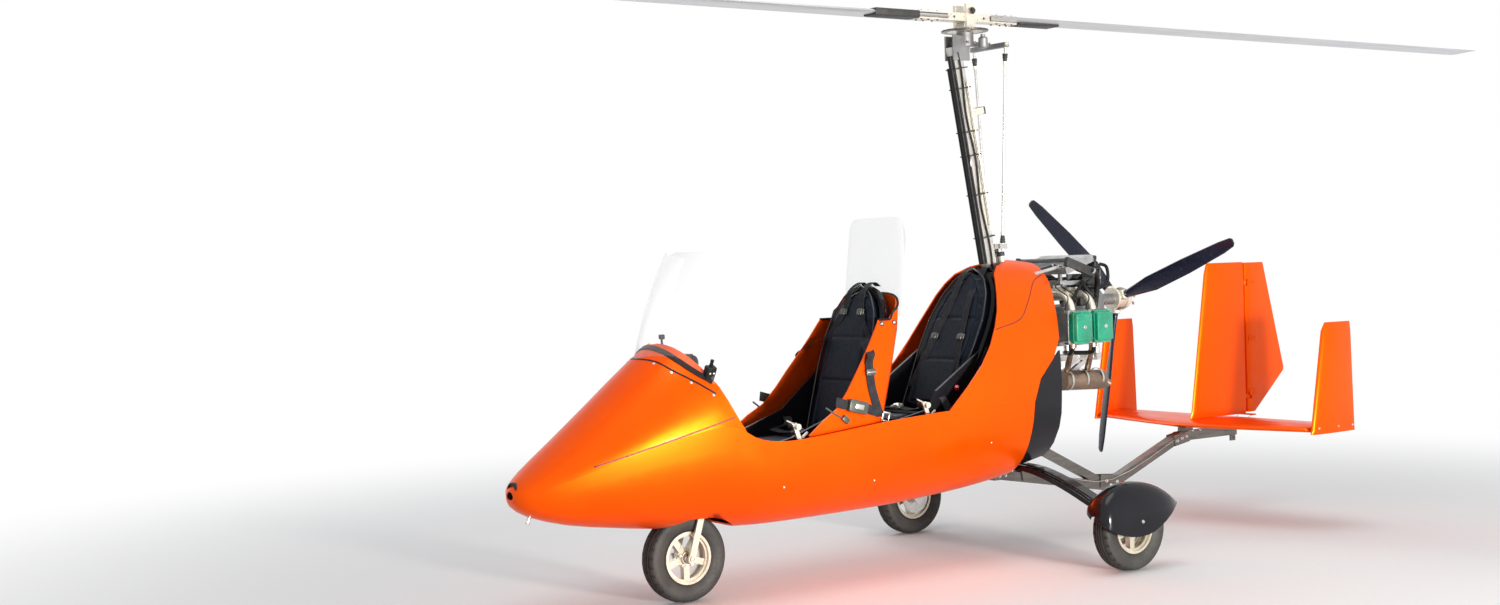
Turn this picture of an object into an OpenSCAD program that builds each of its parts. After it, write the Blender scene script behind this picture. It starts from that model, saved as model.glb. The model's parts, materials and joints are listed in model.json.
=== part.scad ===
// Two-seat tandem gyrocopter. Millimetres; nose to -Y, left side to +X, ground at Z = 0, rotor axis at X = Y = 0.

/* [Pod] */
// Half of the pod's greatest width
pod_half_width = 355; // [290:1:430]
// Wall of the pod, the nose cowl and the rear cowl
shell_wall = 8; // [4:0.5:12]
// Top of the cockpit floor above the ground
floor_top = 472; // [465:1:480]
// Thickness of the cockpit floor
floor_thick = 10; // [6:1:16]
// Thickness of both windshields
glass_thick = 3; // [2:0.5:5]

/* [Wheels] */
// Outside diameter of every tyre
tyre_d = 411; // [360:1:480]
// Width of every tyre
tyre_w = 105; // [80:1:120]
// Outside diameter of every rim
rim_d = 242; // [200:1:270]
// Width of every rim
rim_w = 84; // [60:1:100]
// Diameter of every axle
axle_d = 25; // [18:1:32]
// Distance between the two main wheels' centre planes
track = 1658; // [1400:1:1990]
// Main axle behind the rotor axis
main_axle_y = 226; // [200:1:240]
// Nose axle ahead of the rotor axis
nose_axle_y = 1794; // [1760:1:1820]
// Rake of the steering axis
nose_rake = 17; // [10:0.5:20]

/* [Landing gear] */
// Thickness of the bow spring
bow_thick = 25; // [15:1:32]
// Width of the bow spring, front to back
bow_w = 110; // [80:1:130]
// Distance from the main wheel's centre plane to the end of the bow
bow_to_wheel = 94; // [90:1:110]
// Outside of the square steel tubes of the keel
keel_tube = 50; // [40:1:60]

/* [Mast] */
// Lean of the mast, forward from upright
mast_lean = 10.3; // [8:0.1:12]
// Width of the mast, side to side
mast_w = 50; // [40:1:60]
// Depth of the mast, front to back
mast_d = 60; // [50:1:70]

/* [Rotor] */
// Rotor diameter
rotor_d = 8400; // [6800:10:10200]
// Height of the blades' middle plane
blade_z = 2757; // [2757:1:2900]
// Blade chord
blade_chord = 200; // [150:1:240]
// Blade thickness as a share of its chord
blade_camber = 0.12; // [0.09:0.01:0.15]
// Diameter of the rotor shaft
rotor_shaft_d = 30; // [24:1:36]

/* [Propeller] */
// Propeller diameter
prop_d = 1730; // [1400:10:1760]
// Height of the propeller shaft
prop_z = 1285; // [1285:1:1320]
// Blade's middle plane behind the rotor axis
prop_y = 1050; // [1050:1:1080]
// Number of propeller blades
prop_blades = 3; // [2:1:4]
// Turn of the first blade from upright towards the left
prop_park = 70; // [0:1:120]

/* [Tail] */
// Span of the stabilizer between the winglets' middle planes
tail_span = 1580; // [1300:1:1900]
// Thickness of the stabilizer, the winglets, the fin and the rudder
tail_thick = 40; // [30:1:50]
// Height of the stabilizer's middle plane
tail_z = 560; // [560:1:600]
// Height of the fin above the stabilizer's middle plane
fin_h = 900; // [700:1:1080]
// Height of the winglets above the stabilizer's middle plane
winglet_h = 570; // [450:1:690]

/* [Seats] */
// Half width of each seat at the shoulders
seat_half_w = 228; // [180:1:240]
// Height of the seat backs along their slope
back_h = 780; // [640:1:800]
// Thickness of each cushion
cushion = 55; // [40:1:70]

/* [Hidden] */
$fn = 48;

orange = "orangered";
black = [0.09, 0.09, 0.1];
steel = "silver";
cream = "wheat";

running_fit = 0.05;   // radial clearance of a shaft in its bore
seat_gap = 0.3;       // clearance of pieces that lie on each other
moving_gap = 8;       // clearance of a moving piece from what is beside it

axle_z = tyre_d / 2;
axle_r = axle_d / 2;
rim_r = rim_d / 2;
nose_y = -nose_axle_y;
wheel_x = track / 2;
bow_end_x = wheel_x - bow_to_wheel;

// ---- curves and lofted shells ----

// Smooth curve through a table's rows: y in column 0, value in column c
function span(t, y, i = 0) = (i >= len(t) - 2 || y < t[i + 1][0]) ? i : span(t, y, i + 1);
function slope(t, i, c) =
    let (a = max(i - 1, 0), b = min(i + 1, len(t) - 1)) (t[b][c] - t[a][c]) / (t[b][0] - t[a][0]);
function curve(t, y, c = 1) =
    let (i = span(t, y), h = t[i + 1][0] - t[i][0], s = (y - t[i][0]) / h)
    (2 * s ^ 3 - 3 * s ^ 2 + 1) * t[i][c] + (s ^ 3 - 2 * s ^ 2 + s) * h * slope(t, i, c)
    + (3 * s ^ 2 - 2 * s ^ 3) * t[i + 1][c] + (s ^ 3 - s ^ 2) * h * slope(t, i + 1, c);
function mix(a, b, s) = a + (b - a) * s;
function steps(a, b, n) = [for (i = [0 : n]) mix(a, b, i / n)];

function quad(a, b, c, d) = [[a, b, c], [a, c, d]];

// Closed wall between two grids of points, outer[row][column] and inner[row][column]
module skin(outer, inner) {
    n = len(outer);
    m = len(outer[0]);
    points = [for (row = outer) each row, for (row = inner) each row];
    function o(i, j) = i * m + j;
    function q(i, j) = n * m + i * m + j;
    faces = [
        for (i = [0 : n - 2], j = [0 : m - 2]) each [
            each quad(o(i, j), o(i + 1, j), o(i + 1, j + 1), o(i, j + 1)),
            each quad(q(i, j), q(i, j + 1), q(i + 1, j + 1), q(i + 1, j))],
        for (i = [0 : n - 2]) each [
            each quad(o(i, 0), q(i, 0), q(i + 1, 0), o(i + 1, 0)),
            each quad(o(i, m - 1), o(i + 1, m - 1), q(i + 1, m - 1), q(i, m - 1))],
        for (j = [0 : m - 2]) each [
            each quad(o(0, j), o(0, j + 1), q(0, j + 1), q(0, j)),
            each quad(o(n - 1, j), q(n - 1, j), q(n - 1, j + 1), o(n - 1, j + 1))]];
    polyhedron(points, faces);
}

// Solid through closed loops of points, loops[row][column], with flat ends
module loft(loops) {
    n = len(loops);
    m = len(loops[0]);
    faces = [
        for (i = [0 : n - 2], j = [0 : m - 1])
            each quad(i * m + j, (i + 1) * m + j, (i + 1) * m + (j + 1) % m, i * m + (j + 1) % m),
        [for (j = [0 : m - 1]) j],
        [for (j = [m - 1 : -1 : 0]) (n - 1) * m + j]];
    polyhedron([for (row = loops) each row], faces);
}

// Straight bar of a square or round section between two points of the plane at x
module bar(x, y1, z1, y2, z2, w, h) {
    length = norm([y2 - y1, z2 - z1]);
    translate([x - w / 2, y1, z1]) rotate([atan2(z2 - z1, y2 - y1), 0, 0])
        translate([0, 0, -h / 2]) cube([w, length, h]);
}
module rod(p, q, r) {
    d = q - p;
    translate(p) rotate([0, acos(d.z / norm(d)), atan2(d.y, d.x)]) cylinder(r = r, h = norm(d));
}
module left_right() {
    children();
    mirror([1, 0, 0]) children();
}

// ---- pod ----

// y, half width as a share of pod_half_width, keel line, shoulder line, crown line
POD = [
    [-2663, 0.10, 548, 572, 598],
    [-2640, 0.25, 512, 582, 626],
    [-2571, 0.42, 470, 605, 686],
    [-2411, 0.585, 422, 655, 810],
    [-2205, 0.735, 389, 722, 974],
    [-2025, 0.835, 365, 774, 1120],
    [-1860, 0.91, 351, 808, 1235],
    [-1760, 0.945, 342, 822, 1290],
    [-1690, 0.96, 337, 806, 1320],
    [-1600, 0.975, 331, 757, 1350],
    [-1500, 0.985, 326, 735, 1380],
    [-1370, 0.995, 323, 733, 1400],
    [-1132, 1.0, 325, 752, 1440],
    [-900, 1.0, 329, 774, 1460],
    [-670, 1.0, 335, 789, 1480],
    [-480, 1.0, 348, 799, 1500],
    [-250, 1.0, 366, 801, 1505],
    [-40, 0.99, 391, 801, 1512],
    [100, 0.975, 415, 801, 1516],
    [240, 0.95, 446, 801, 1517],
    [380, 0.91, 470, 801, 1503]];
belly_power = 2.6;
nose_power = 1.8;       // rounder over the nose than over the rear cowl
crown_power = 2.1;

// Point of the pod's section at y: turn is -1 at the keel line, 0 at the shoulder, 1 at the crown
function pod_point(y, turn, inset = 0, lift = 0) =
    let (w = curve(POD, y, 1) * pod_half_width - inset, zs = curve(POD, y, 3),
        zb = curve(POD, y, 2) + inset, zt = curve(POD, y, 4) - inset,
        t = 90 * abs(turn), p = turn < 0 ? belly_power : y < -1500 ? nose_power : crown_power,
        rise = pow(sin(t), 2 / p))
    [w * pow(max(cos(t), 0), 2 / p), y, (turn < 0 ? zs - (zs - zb) * rise : zs + (zt - zs) * rise) + lift];
function mirrored(p, side) = [side * p.x, p.y, p.z];

TURNS = steps(0, 1, 11);
// Columns as [side, turn], from the left rim under the belly to the right rim
BELLY = [for (t = TURNS) [1, -t], for (i = [10 : -1 : 0]) [-1, -TURNS[i]]];
// Columns from the right shoulder over the crown to the left shoulder
CROWN = [for (t = TURNS) [-1, t], for (i = [10 : -1 : 0]) [1, TURNS[i]]];

// turn, y of the pod's rear edge
POD_BACK = [[-1, 58], [-0.6, 60], [-0.37, 63], [-0.15, 76], [0, 92]];
// turn, y of the nose cowl's rear edge
NOSE_BACK = [[0, -1655], [0.11, -1712], [0.28, -1771], [0.5, -1841], [0.75, -1895], [1, -1932]];
// turn, y of the rear cowl's front and rear edges
COWL_FRONT = [[0, -476], [0.08, -364], [0.22, -210], [0.425, -87], [0.62, -20], [0.76, 34], [0.86, 120],
    [0.92, 195], [1, 215]];
COWL_BACK = [[0, 92], [0.08, 130], [0.15, 210], [0.22, 296], [0.27, 312], [0.47, 341], [0.67, 372], [1, 375]];

POD_ROWS = concat([-2663, -2655, -2640, -2610, -2571, -2500, -2411, -2310, -2205, -2110],
    steps(-2025, -1655, 8), steps(-1610, -1340, 6), steps(-1240, -40, 12));
function pod_grid(inset) = [
    for (y = POD_ROWS) [for (c = BELLY) mirrored(pod_point(y, c[1], inset), c[0])],
    [for (c = BELLY) mirrored(pod_point(curve(POD_BACK, c[1]), c[1], inset), c[0])]];
// A cowl's grid runs from its front rows to its rear edge, or between its two edges
function nose_grid(inset) = [
    for (y = [for (r = POD_ROWS) if (r < -1990) r]) [for (c = CROWN)
        mirrored(pod_point(y, c[1], inset, seat_gap), c[0])],
    for (s = steps(0.125, 1, 7)) [for (c = CROWN)
        mirrored(pod_point(mix(-2025, curve(NOSE_BACK, c[1]), s), c[1], inset, seat_gap), c[0])]];
function cowl_grid(inset) = [
    for (s = steps(0, 1, 10)) [for (c = CROWN)
        mirrored(pod_point(mix(curve(COWL_FRONT, c[1]), curve(COWL_BACK, c[1]), s), c[1], inset, seat_gap), c[0])]];

// The steering axis leans back from the nose axle
module steering_frame() {
    translate([0, nose_y, axle_z]) rotate([-nose_rake, 0, 0]) children();
}
well_r = tyre_d / 2 + 8;

module fuselage_pod() {
    color(orange) resize([0, 0, 0]) difference() {
        skin(pod_grid(0), pod_grid(shell_wall));
        translate([0, nose_y + 18, axle_z]) cylinder(r = well_r, h = 200);
        translate([-keel_tube / 2 - 4, -70, 300]) cube([keel_tube + 8, 200, 160]);
    }
}
module nose_cowl() {
    color(orange) skin(nose_grid(0), nose_grid(shell_wall));
}
module rear_cowl() {
    color(orange) skin(cowl_grid(0), cowl_grid(shell_wall));
}

// turn, y of the panel's front edge, y of its rear edge
PANEL = [[-0.55, 64, 240], [-0.46, 65, 256], [-0.37, 67, 266], [-0.2, 75, 280], [-0.08, 86, 288],
    [0, 96, 291], [0.08, 134, 297], [0.15, 214, 301], [0.215, 296, 304]];
function panel_grid(inset) = [
    for (s = steps(0, 1, 5)) [for (r = PANEL) pod_point(mix(r[1], r[2], s), r[0], inset)]];
module side_panels() {
    color(black) left_right() mirror([1, 0, 0])
        skin([for (r = panel_grid(0)) [for (p = r) mirrored(p, -1)]],
            [for (r = panel_grid(shell_wall)) [for (p = r) mirrored(p, -1)]]);
}

// Half width inside the belly wall at height z, measured on the wall's own facets
function belly_inside(y, z, inset = shell_wall) =
    lookup(z, [for (i = [11 : -1 : 0]) let (p = pod_point(y, -TURNS[i], inset)) [p.z, p.x]]);
function crown_inside(y, z, inset = shell_wall) =
    lookup(z, [for (i = [0 : 11]) let (p = pod_point(y, TURNS[i], inset)) [p.z, p.x]]);

head_y = nose_y + (floor_top - axle_z) * tan(nose_rake);
module cockpit_floor() {
    rows = [for (y = POD_ROWS) if (y > -2320) y];
    edge = [for (y = rows) [belly_inside(y, floor_top - floor_thick) - 1, y]];
    color(black) difference() {
        translate([0, 0, floor_top - floor_thick]) linear_extrude(floor_thick)
            polygon([each edge, for (i = [len(edge) - 1 : -1 : 0]) [-edge[i].x, edge[i].y]]);
        translate([0, head_y, floor_top]) cube([80, 110, 60], center = true);
    }
}

wall_y = 262;
wall_thick = 6;
module firewall() {
    low = steps(520, 790, 6);
    high = steps(820, 1440, 14);
    side = [for (z = low) [belly_inside(wall_y, z) - 2.5, z], for (z = high) [crown_inside(wall_y, z) - 2, z]];
    color(steel) difference() {
        translate([0, wall_y + wall_thick, 0]) rotate([90, 0, 0]) linear_extrude(wall_thick)
            polygon([each side, for (i = [len(side) - 1 : -1 : 0]) [-side[i].x, side[i].y]]);
        mast_frame() translate([-mast_w / 2 - seat_gap, -mast_d / 2 - seat_gap, -50])
            cube([mast_w + 2 * seat_gap, mast_d + 2 * seat_gap, 2400]);
        upper_keel(4);
    }
}

panel_y = -1962;
module instrument_panel() {
    levels = concat(steps(880, 1080, 5), [1105, 1125, 1138]);
    side = [for (z = levels) [crown_inside(panel_y, z) - 2, z]];
    color(black) {
        translate([0, panel_y + 8, 0]) rotate([90, 0, 0]) linear_extrude(8)
            polygon([each side, for (i = [len(side) - 1 : -1 : 0]) [-side[i].x, side[i].y]]);
        translate([-150, panel_y + 7.9, 905]) cube([300, 122, 150]);
        translate([-85, panel_y + 7.9, 1054]) cube([170, 190, 84]);
        for (x = [-85, 0, 85])
            translate([x, panel_y + 129, 1012]) rotate([-90, 0, 0]) cylinder(r = 36, h = 6);
        for (x = [-110, -65, 65, 110])
            translate([x, panel_y + 129, 945]) rotate([-90, 0, 0]) cylinder(r = 17, h = 5);
    }
}

// ---- windshields ----

// Front: s runs from the base to the top, v from 1 at the left edge to 0 at the middle
screen_out = 0.6 + glass_thick;
function screen_front(s, v, out) =
    let (turn = mix(1, 0.30, abs(v) ^ 1.3),
        base = pod_point(mix(-2022, -1790, abs(v) ^ 1.6), turn, -out),
        top = [(285 + out) * sin(90 * abs(v)), -1785 - out + 232 * (1 - cos(90 * abs(v))), 1600 - 26 * v ^ 2],
        bulge = 22 * sin(180 * s))
    [(v < 0 ? -1 : 1) * (mix(base.x, top.x, s) + bulge * abs(v) * 0.5),
        mix(base.y, top.y, s) - bulge * (1 - abs(v)), mix(base.z, top.z, s)];
module windshield_front() {
    color([0.8, 0.9, 0.95, 0.3]) skin(
        [for (s = steps(0, 1, 6)) [for (v = steps(1, -1, 20)) screen_front(s, v, screen_out)]],
        [for (s = steps(0, 1, 6)) [for (v = steps(1, -1, 20)) screen_front(s, v, screen_out - glass_thick)]]);
}

// Rear: stands on the fairing behind the front seat, against its crown
screen_foot = 1262;
screen_touch = (1375 - screen_foot) / (1745 - screen_foot);
function screen_rear(s, v, out) =
    let (a = 62 * v, top = 1745 - 110 * abs(v) ^ 9, x = 225 * sin(a) / sin(62))
    [x, FAIRING[6][3] + seat_gap + glass_thick + 45 * (s - screen_touch) - out, mix(screen_foot, top, s)];
module windshield_rear() {
    color([0.8, 0.9, 0.95, 0.3]) skin(
        [for (s = steps(0, 1, 6)) [for (v = steps(1, -1, 20)) screen_rear(s, v, glass_thick)]],
        [for (s = steps(0, 1, 6)) [for (v = steps(1, -1, 20)) screen_rear(s, v, 0)]]);
}

// ---- seats ----

// y and z of the back's foot, lean, y of the pan's front edge, z of the pan, half width, back's height
FRONT_SEAT = [-960, 690, 18, -1520, 640, seat_half_w, back_h];
REAR_SEAT = [-350, 760, 27, -700, 715, seat_half_w + 12, back_h + 40];
SEATS = [FRONT_SEAT, REAR_SEAT];
// share of the back's height, share of its half width
BACK = [[0, 0.86], [0.2, 0.93], [0.45, 1.0], [0.65, 0.98], [0.82, 0.80], [0.93, 0.52], [0.985, 0.25], [1, 0]];
shell_thick = 14;
wing = 16;            // thickness of a seat's side wings
function back_outline(s, inset) =
    let (half = [for (u = steps(0, 1, 20)) [curve(BACK, u) * (s[5] - inset), u * (s[6] - inset) + inset / 2]])
    [each half, for (i = [19 : -1 : 0]) [-half[i].x, half[i].y]];
module seat_back_frame(s) {
    translate([0, s[0], s[1]]) rotate([90 - s[2], 0, 0]) mirror([0, 0, 1]) children();
}
module seat_shell(s) {
    seat_back_frame(s) translate([0, 0, cushion + seat_gap]) linear_extrude(shell_thick)
        polygon(back_outline(s, 0));
    seat_back_frame(s) translate([0, 0, cushion / 2]) linear_extrude(cushion / 2 + seat_gap + 1) difference() {
        polygon(back_outline(s, 0));
        polygon(back_outline(s, 26));
        translate([-s[5] / 2, -30]) square([s[5], 90]);
    }
    seat_back_frame(s) translate([-60, -100, cushion + seat_gap]) cube([120, 110, shell_thick]);
    // Side wings from the back down to the front of the pan
    for (x = [-s[5], s[5] - wing]) translate([x, 0, 0]) rotate([90, 0, 90]) linear_extrude(wing) polygon([
        [s[3] + 15, s[4] - 40], [s[3] + 15, s[4] + 55], [s[3] + 190, s[4] + 90], [s[0] - 110, s[1] + 130],
        [s[0] + 0.42 * s[6] * sin(s[2]) + 15, s[1] + 0.42 * s[6] * cos(s[2])],
        [s[0] + cushion + 20, s[1] + 20], [s[0] + 30, s[4] - 40]]);
    difference() {
        translate([-s[5], s[3], floor_top]) cube([2 * s[5], s[0] - s[3] + 40, s[4] - floor_top]);
        translate([-s[5] + 20, s[3] + 20, floor_top - 1]) cube([2 * s[5] - 40, s[0] - s[3] - 60, s[4] - floor_top - 15]);
    }
}
module seat_shells() {
    color(black) for (s = SEATS) seat_shell(s);
}
module seat_cushions() {
    color([0.05, 0.06, 0.1]) for (s = SEATS)
        translate([0, 0, s[4] + seat_gap]) linear_extrude(cushion) offset(r = 30) offset(delta = -30)
            translate([-s[5] + 20, s[3] + 10]) square([2 * s[5] - 40, s[0] - s[3] - 45]);
}
module back_cushions() {
    color([0.05, 0.06, 0.1]) for (s = SEATS)
        seat_back_frame(s) linear_extrude(cushion) polygon(back_outline(s, 28));
}

// z, half width, y of the front edge, y of the back of the fairing
FAIRING = [[472, 248, -1080, -835], [600, 286, -1200, -835], [742, 312, -1290, -832], [850, 300, -1120, -800],
    [1000, 282, -990, -746], [1150, 254, -873, -690], [1250, 236, -805, -652]];
// v is 1 at the left front edge, 0.45 at the corner and 0 at the middle of the back
function fairing_point(z, v, inset) =
    let (w = curve(FAIRING, z, 1) - inset, yf = curve(FAIRING, z, 2), yb = curve(FAIRING, z, 3) - inset,
        u = min(abs(v) / 0.45, 1), t = 90 * u, side = max((abs(v) - 0.45) / 0.55, 0), bend = 60,
        rise = z > 1200 ? (z - 1200) / 50 * 125 * (1 - min(abs(v) / 0.55, 1) ^ 2) : 0)
    [(v < 0 ? -1 : 1) * w * pow(sin(t), 0.5), mix(yb - bend + bend * pow(max(cos(t), 0), 0.5), yf, side), z + rise];
FAIRING_ROWS = [472, 540, 600, 670, 742, 800, 850, 925, 1000, 1075, 1150, 1200, 1225, 1250];
module seat_fairing() {
    color(orange) skin(
        [for (z = FAIRING_ROWS) [for (v = steps(1, -1, 24)) fairing_point(z, v, 0)]],
        [for (z = FAIRING_ROWS) [for (v = steps(1, -1, 24)) fairing_point(z, v, shell_wall)]]);
}

// ---- cockpit controls ----

module control_sticks() {
    color(black) for (s = [[-1600, -60], [-795, -100]]) {
        rod([0, s[0], floor_top + 8], [0, s[0] - s[1] / 2, 820], 11);
        translate([0, s[0] - s[1] / 2, 815]) cylinder(r = 18, h = 110);
        translate([0, s[0], floor_top + seat_gap]) cylinder(r = 26, h = 22);
    }
}
module throttle_levers() {
    // y, z of each lever's foot
    color(steel) for (l = [[-1330, 700], [-560, 745]]) translate([0, l[0], l[1]]) {
        reach = belly_inside(l[0] - 25, l[1] - 20) - 0.6;
        translate([reach - 46, -25, -20]) cube([46, 50, 10]);
        translate([reach - 42, -10, -15]) rotate([20, 0, 0]) cube([10, 22, 120]);
        translate([reach - 60, -30, 88]) rotate([0, 90, 0]) cylinder(r = 14, h = 46);
    }
}
module rudder_pedals() {
    color(steel) {
        rod([-190, -2130, 560], [190, -2130, 560], 9);
        for (x = [-110, 110]) {
            translate([x - 45, -2150, 600]) cube([90, 12, 110]);
            translate([x - 8, -2144, floor_top + seat_gap]) cube([16, 12, 170]);
        }
    }
}

// ---- keel, mast, engine mount ----

foot_y = 314;
foot_z = 440;
kink = [935, 268];            // y, z where the keel's tubes meet lowest
keel_mid = [1509, 492];
keel_end = [1975, 492];
stem_r = 16;
module mast_frame() {
    translate([0, foot_y, foot_z]) rotate([mast_lean, 0, 0]) children();
}
// A square tube bent along a path of y, z points, mitred at each bend
module tube_run(path) {
    last = len(path) - 1;
    function across(i) = let (d = path[i + 1] - path[i]) [-d[1], d[0]] / norm(d);
    function side(i) = i == 0 ? across(0) : i == last ? across(last - 1)
        : let (a = across(i - 1), b = across(i)) (a + b) / (1 + a * b);
    rotate([90, 0, 90]) translate([0, 0, -keel_tube / 2]) linear_extrude(keel_tube) polygon([
        for (i = [0 : last]) path[i] + side(i) * keel_tube / 2,
        for (i = [last : -1 : 0]) path[i] - side(i) * keel_tube / 2]);
}
module upper_keel(clear = 0) {
    bar(0, 290, 585, kink[0], kink[1], keel_tube - 6 + 2 * clear, keel_tube - 6 + 2 * clear);
}
module keel_frame() {
    inside = floor_top - floor_thick;
    color(steel) difference() {
        union() {
            tube_run([[-700, inside - keel_tube / 2], [-60, inside - keel_tube / 2], kink, keel_mid, keel_end]);
            difference() {
                upper_keel();
                mast_frame() translate([-60, -mast_d, 0]) cube([120, mast_d * 1.5 + seat_gap, 400]);
            }
            for (x = [-1, 1]) translate([x * (keel_tube / 2 + 2), 0, 0]) {
                bar(0, kink[0] - 75, kink[1] + 34, kink[0] + 75, kink[1] + 22, 6, 70);
                bar(0, keel_mid[0] - 60, keel_mid[1] - 20, keel_mid[0] + 60, keel_mid[1], 6, 60);
            }
            translate([-38, main_saddle_y, 380]) cube([76, bow_w - 20, bow_low - 380]);
            translate([-28, keel_mid[0] + 30, keel_mid[1]]) cube([56, 60, tail_z - tail_thick / 2 - seat_gap - keel_mid[1]]);
            translate([-28, keel_end[0] - 95, keel_mid[1]])
                cube([56, 60, tail_z - tail_thick / 2 - seat_gap - keel_mid[1]]);
            mast_frame() translate([-mast_w / 2 - 8, -mast_d / 2 - 8, -75])
                cube([mast_w + 16, mast_d + 16, 75]);
            translate([-5, keel_end[0] - 30, keel_end[1] - 60]) cube([10, 40, 60]);
        }
        translate([-20, keel_end[0] - 8, keel_end[1] - 44]) rotate([0, 90, 0]) cylinder(r = 6, h = 40);
    }
    // Steering head: a tube on a plate bolted to the floor
    color(steel) difference() {
        union() {
            steering_frame() translate([0, 0, head_low]) cylinder(r = stem_r + 12, h = 170);
            translate([-70, head_y - 80, floor_top + seat_gap]) cube([140, 160, 8]);
        }
        steering_frame() translate([0, 0, head_low - 1]) cylinder(r = stem_r + running_fit, h = 200);
    }
}
mast_length = (2610 - foot_z) / cos(mast_lean);
module mast() {
    color(steel) mast_frame() difference() {
        translate([-mast_w / 2, -mast_d / 2, 0]) cube([mast_w, mast_d, mast_length]);
        translate([-mast_w / 2 + 4, -mast_d / 2 + 4, 4]) cube([mast_w - 8, mast_d - 8, mast_length - 8]);
    }
}

mount_z = 985;
module engine_mount() {
    color(steel) {
        for (x = [-1, 1]) {
            bar(x * (mast_w / 2 + 15 + seat_gap), wall_y + wall_thick + seat_gap, mount_z, 800, mount_z, 30, 30);
            bar(x * (mast_w / 2 + 12 + seat_gap), 288, 705, 780, mount_z - 5, 24, 24);
        }
        for (y = [360, 770]) translate([-130, y - 15, mount_z - 15]) cube([260, 30, 40]);
        for (x = [-1, 1], y = [360, 770])
            translate([x * 110, y, mount_z]) cylinder(r = 18, h = block_low - mount_z - seat_gap);
    }
}

// ---- landing gear ----

// x as a share of the bow's half length, height of its middle line
BOW = [[-1, 318], [-0.72, 396], [-0.44, 452], [-0.25, 463], [0, 463], [0.25, 463], [0.44, 452], [0.72, 396], [1, 318]];
bow_low = 463 - bow_thick / 2;
main_saddle_y = 130 - bow_w / 2 + 10;
bow_lug_x = 0.86;
module landing_gear_bow() {
    top = [for (s = steps(-1, 1, 28)) [s * bow_end_x, curve(BOW, s) + bow_thick / 2]];
    low = [for (s = steps(1, -1, 28)) [s * bow_end_x, curve(BOW, s) - bow_thick / 2]];
    color(black) translate([0, 130 + bow_w / 2, 0]) rotate([90, 0, 0]) linear_extrude(bow_w) polygon([each top, each low]);
}
plate_thick = 12;
module main_axles() {
    color(steel) left_right() {
        // The plate hangs from the bow's end and carries the axle
        translate([bow_end_x + seat_gap, 0, 0]) rotate([90, 0, 90]) linear_extrude(plate_thick) hull() {
            translate([130, 325]) circle(r = 40);
            translate([main_axle_y, axle_z]) circle(r = 34);
        }
        difference() {
            translate([bow_end_x + 1, main_axle_y, axle_z]) rotate([0, 90, 0]) cylinder(r = axle_r, h = bow_to_wheel + 55);
        }
        translate([bow_end_x + plate_thick, main_axle_y, axle_z]) rotate([0, 90, 0]) cylinder(r = axle_r + 6, h = 10);
        translate([wheel_x + rim_w / 2 + 4, main_axle_y, axle_z]) rotate([0, 90, 0]) cylinder(r = axle_r + 4, h = 8);
        translate([bow_end_x + 2, 120, 325]) cube([guard_x - guard_w - bow_end_x - 2 - seat_gap, 60, 30]);
    }
}

guard_x = wheel_x + 12;
guard_w = 84;
// y, half width as a share of guard_w, crown, outboard lower edge, inboard lower edge
GUARD = [
    [-14, 0.34, 290, 256, 270],
    [-6, 0.66, 318, 242, 286],
    [12, 0.90, 348, 226, 300],
    [45, 0.98, 381, 206, 304],
    [110, 1.0, 416, 186, 304],
    [195, 1.0, 431, 175, 304],
    [280, 1.0, 427, 182, 304],
    [365, 0.96, 407, 216, 304],
    [440, 0.80, 372, 256, 304],
    [500, 0.48, 334, 284, 306],
    [545, 0.12, 306, 294, 300]];
function guard_point(y, v, inset) =
    let (w = max(curve(GUARD, y, 1) * guard_w - inset, 2), zt = curve(GUARD, y, 2) - inset,
        zl = curve(GUARD, y, v > 0 ? 3 : 4), t = 90 * (1 - abs(v) ^ 0.9), zs = zl, p = 2.6)
    [guard_x + (v < 0 ? -1 : 1) * w * pow(max(cos(t), 0), 2 / p), y, zs + (zt - zs) * pow(sin(t), 2 / p)];
GUARD_ROWS = concat([-14, -11, -6, 2, 12, 28], steps(45, 440, 9), [470, 500, 525, 545]);
module mudguards() {
    color(black) left_right() translate([0, main_axle_y - 226, axle_z - 205.5])
        skin([for (y = GUARD_ROWS) [for (v = steps(-1, 1, 20)) guard_point(y, v, 0)]],
            [for (y = GUARD_ROWS) [for (v = steps(-1, 1, 20)) guard_point(y, v, 5)]]);
}

module tyre() {
    crown = tyre_w / 2;
    rotate([0, 90, 0]) rotate_extrude($fn = 96) difference() {
        hull() {
            translate([tyre_d / 2 - crown * 0.62, 0]) scale([0.62, 1]) circle(r = crown, $fn = 40);
            translate([rim_r + seat_gap / 2, -rim_w / 2 + 4]) square([10, rim_w - 8]);
        }
        translate([0, -tyre_w]) square([rim_r + seat_gap / 2, 2 * tyre_w]);
    }
}
spokes = 5;
module rim() {
    hub_r = axle_r + 18;
    rotate([0, 90, 0]) difference() {
        union() {
            rotate_extrude($fn = 96) {
                translate([rim_r - 12, -rim_w / 2]) square([12, rim_w]);
                translate([rim_r - 22, -rim_w / 2 + 14]) square([11, 10]);
                translate([rim_r - 22, rim_w / 2 - 24]) square([11, 10]);
            }
            cylinder(r = hub_r, h = rim_w - 12, center = true);
            for (i = [0 : spokes - 1]) rotate([0, 0, 360 / spokes * i])
                translate([hub_r - 6, -15, -9]) cube([rim_r - 11 - hub_r, 30, 30]);
            translate([0, 0, 6]) cylinder(r = hub_r + 16, h = 12);
        }
        cylinder(r = axle_r + running_fit, h = rim_w + 40, center = true);
    }
}
module main_wheel_place(side) {
    translate([side * wheel_x, main_axle_y, axle_z]) mirror([side > 0 ? 0 : 1, 0, 0]) children();
}
module tyre_left() { color(black) main_wheel_place(1) tyre(); }
module tyre_right() { color(black) main_wheel_place(-1) tyre(); }
module rim_left() { color(cream) main_wheel_place(1) rim(); }
module rim_right() { color(cream) main_wheel_place(-1) rim(); }

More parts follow.
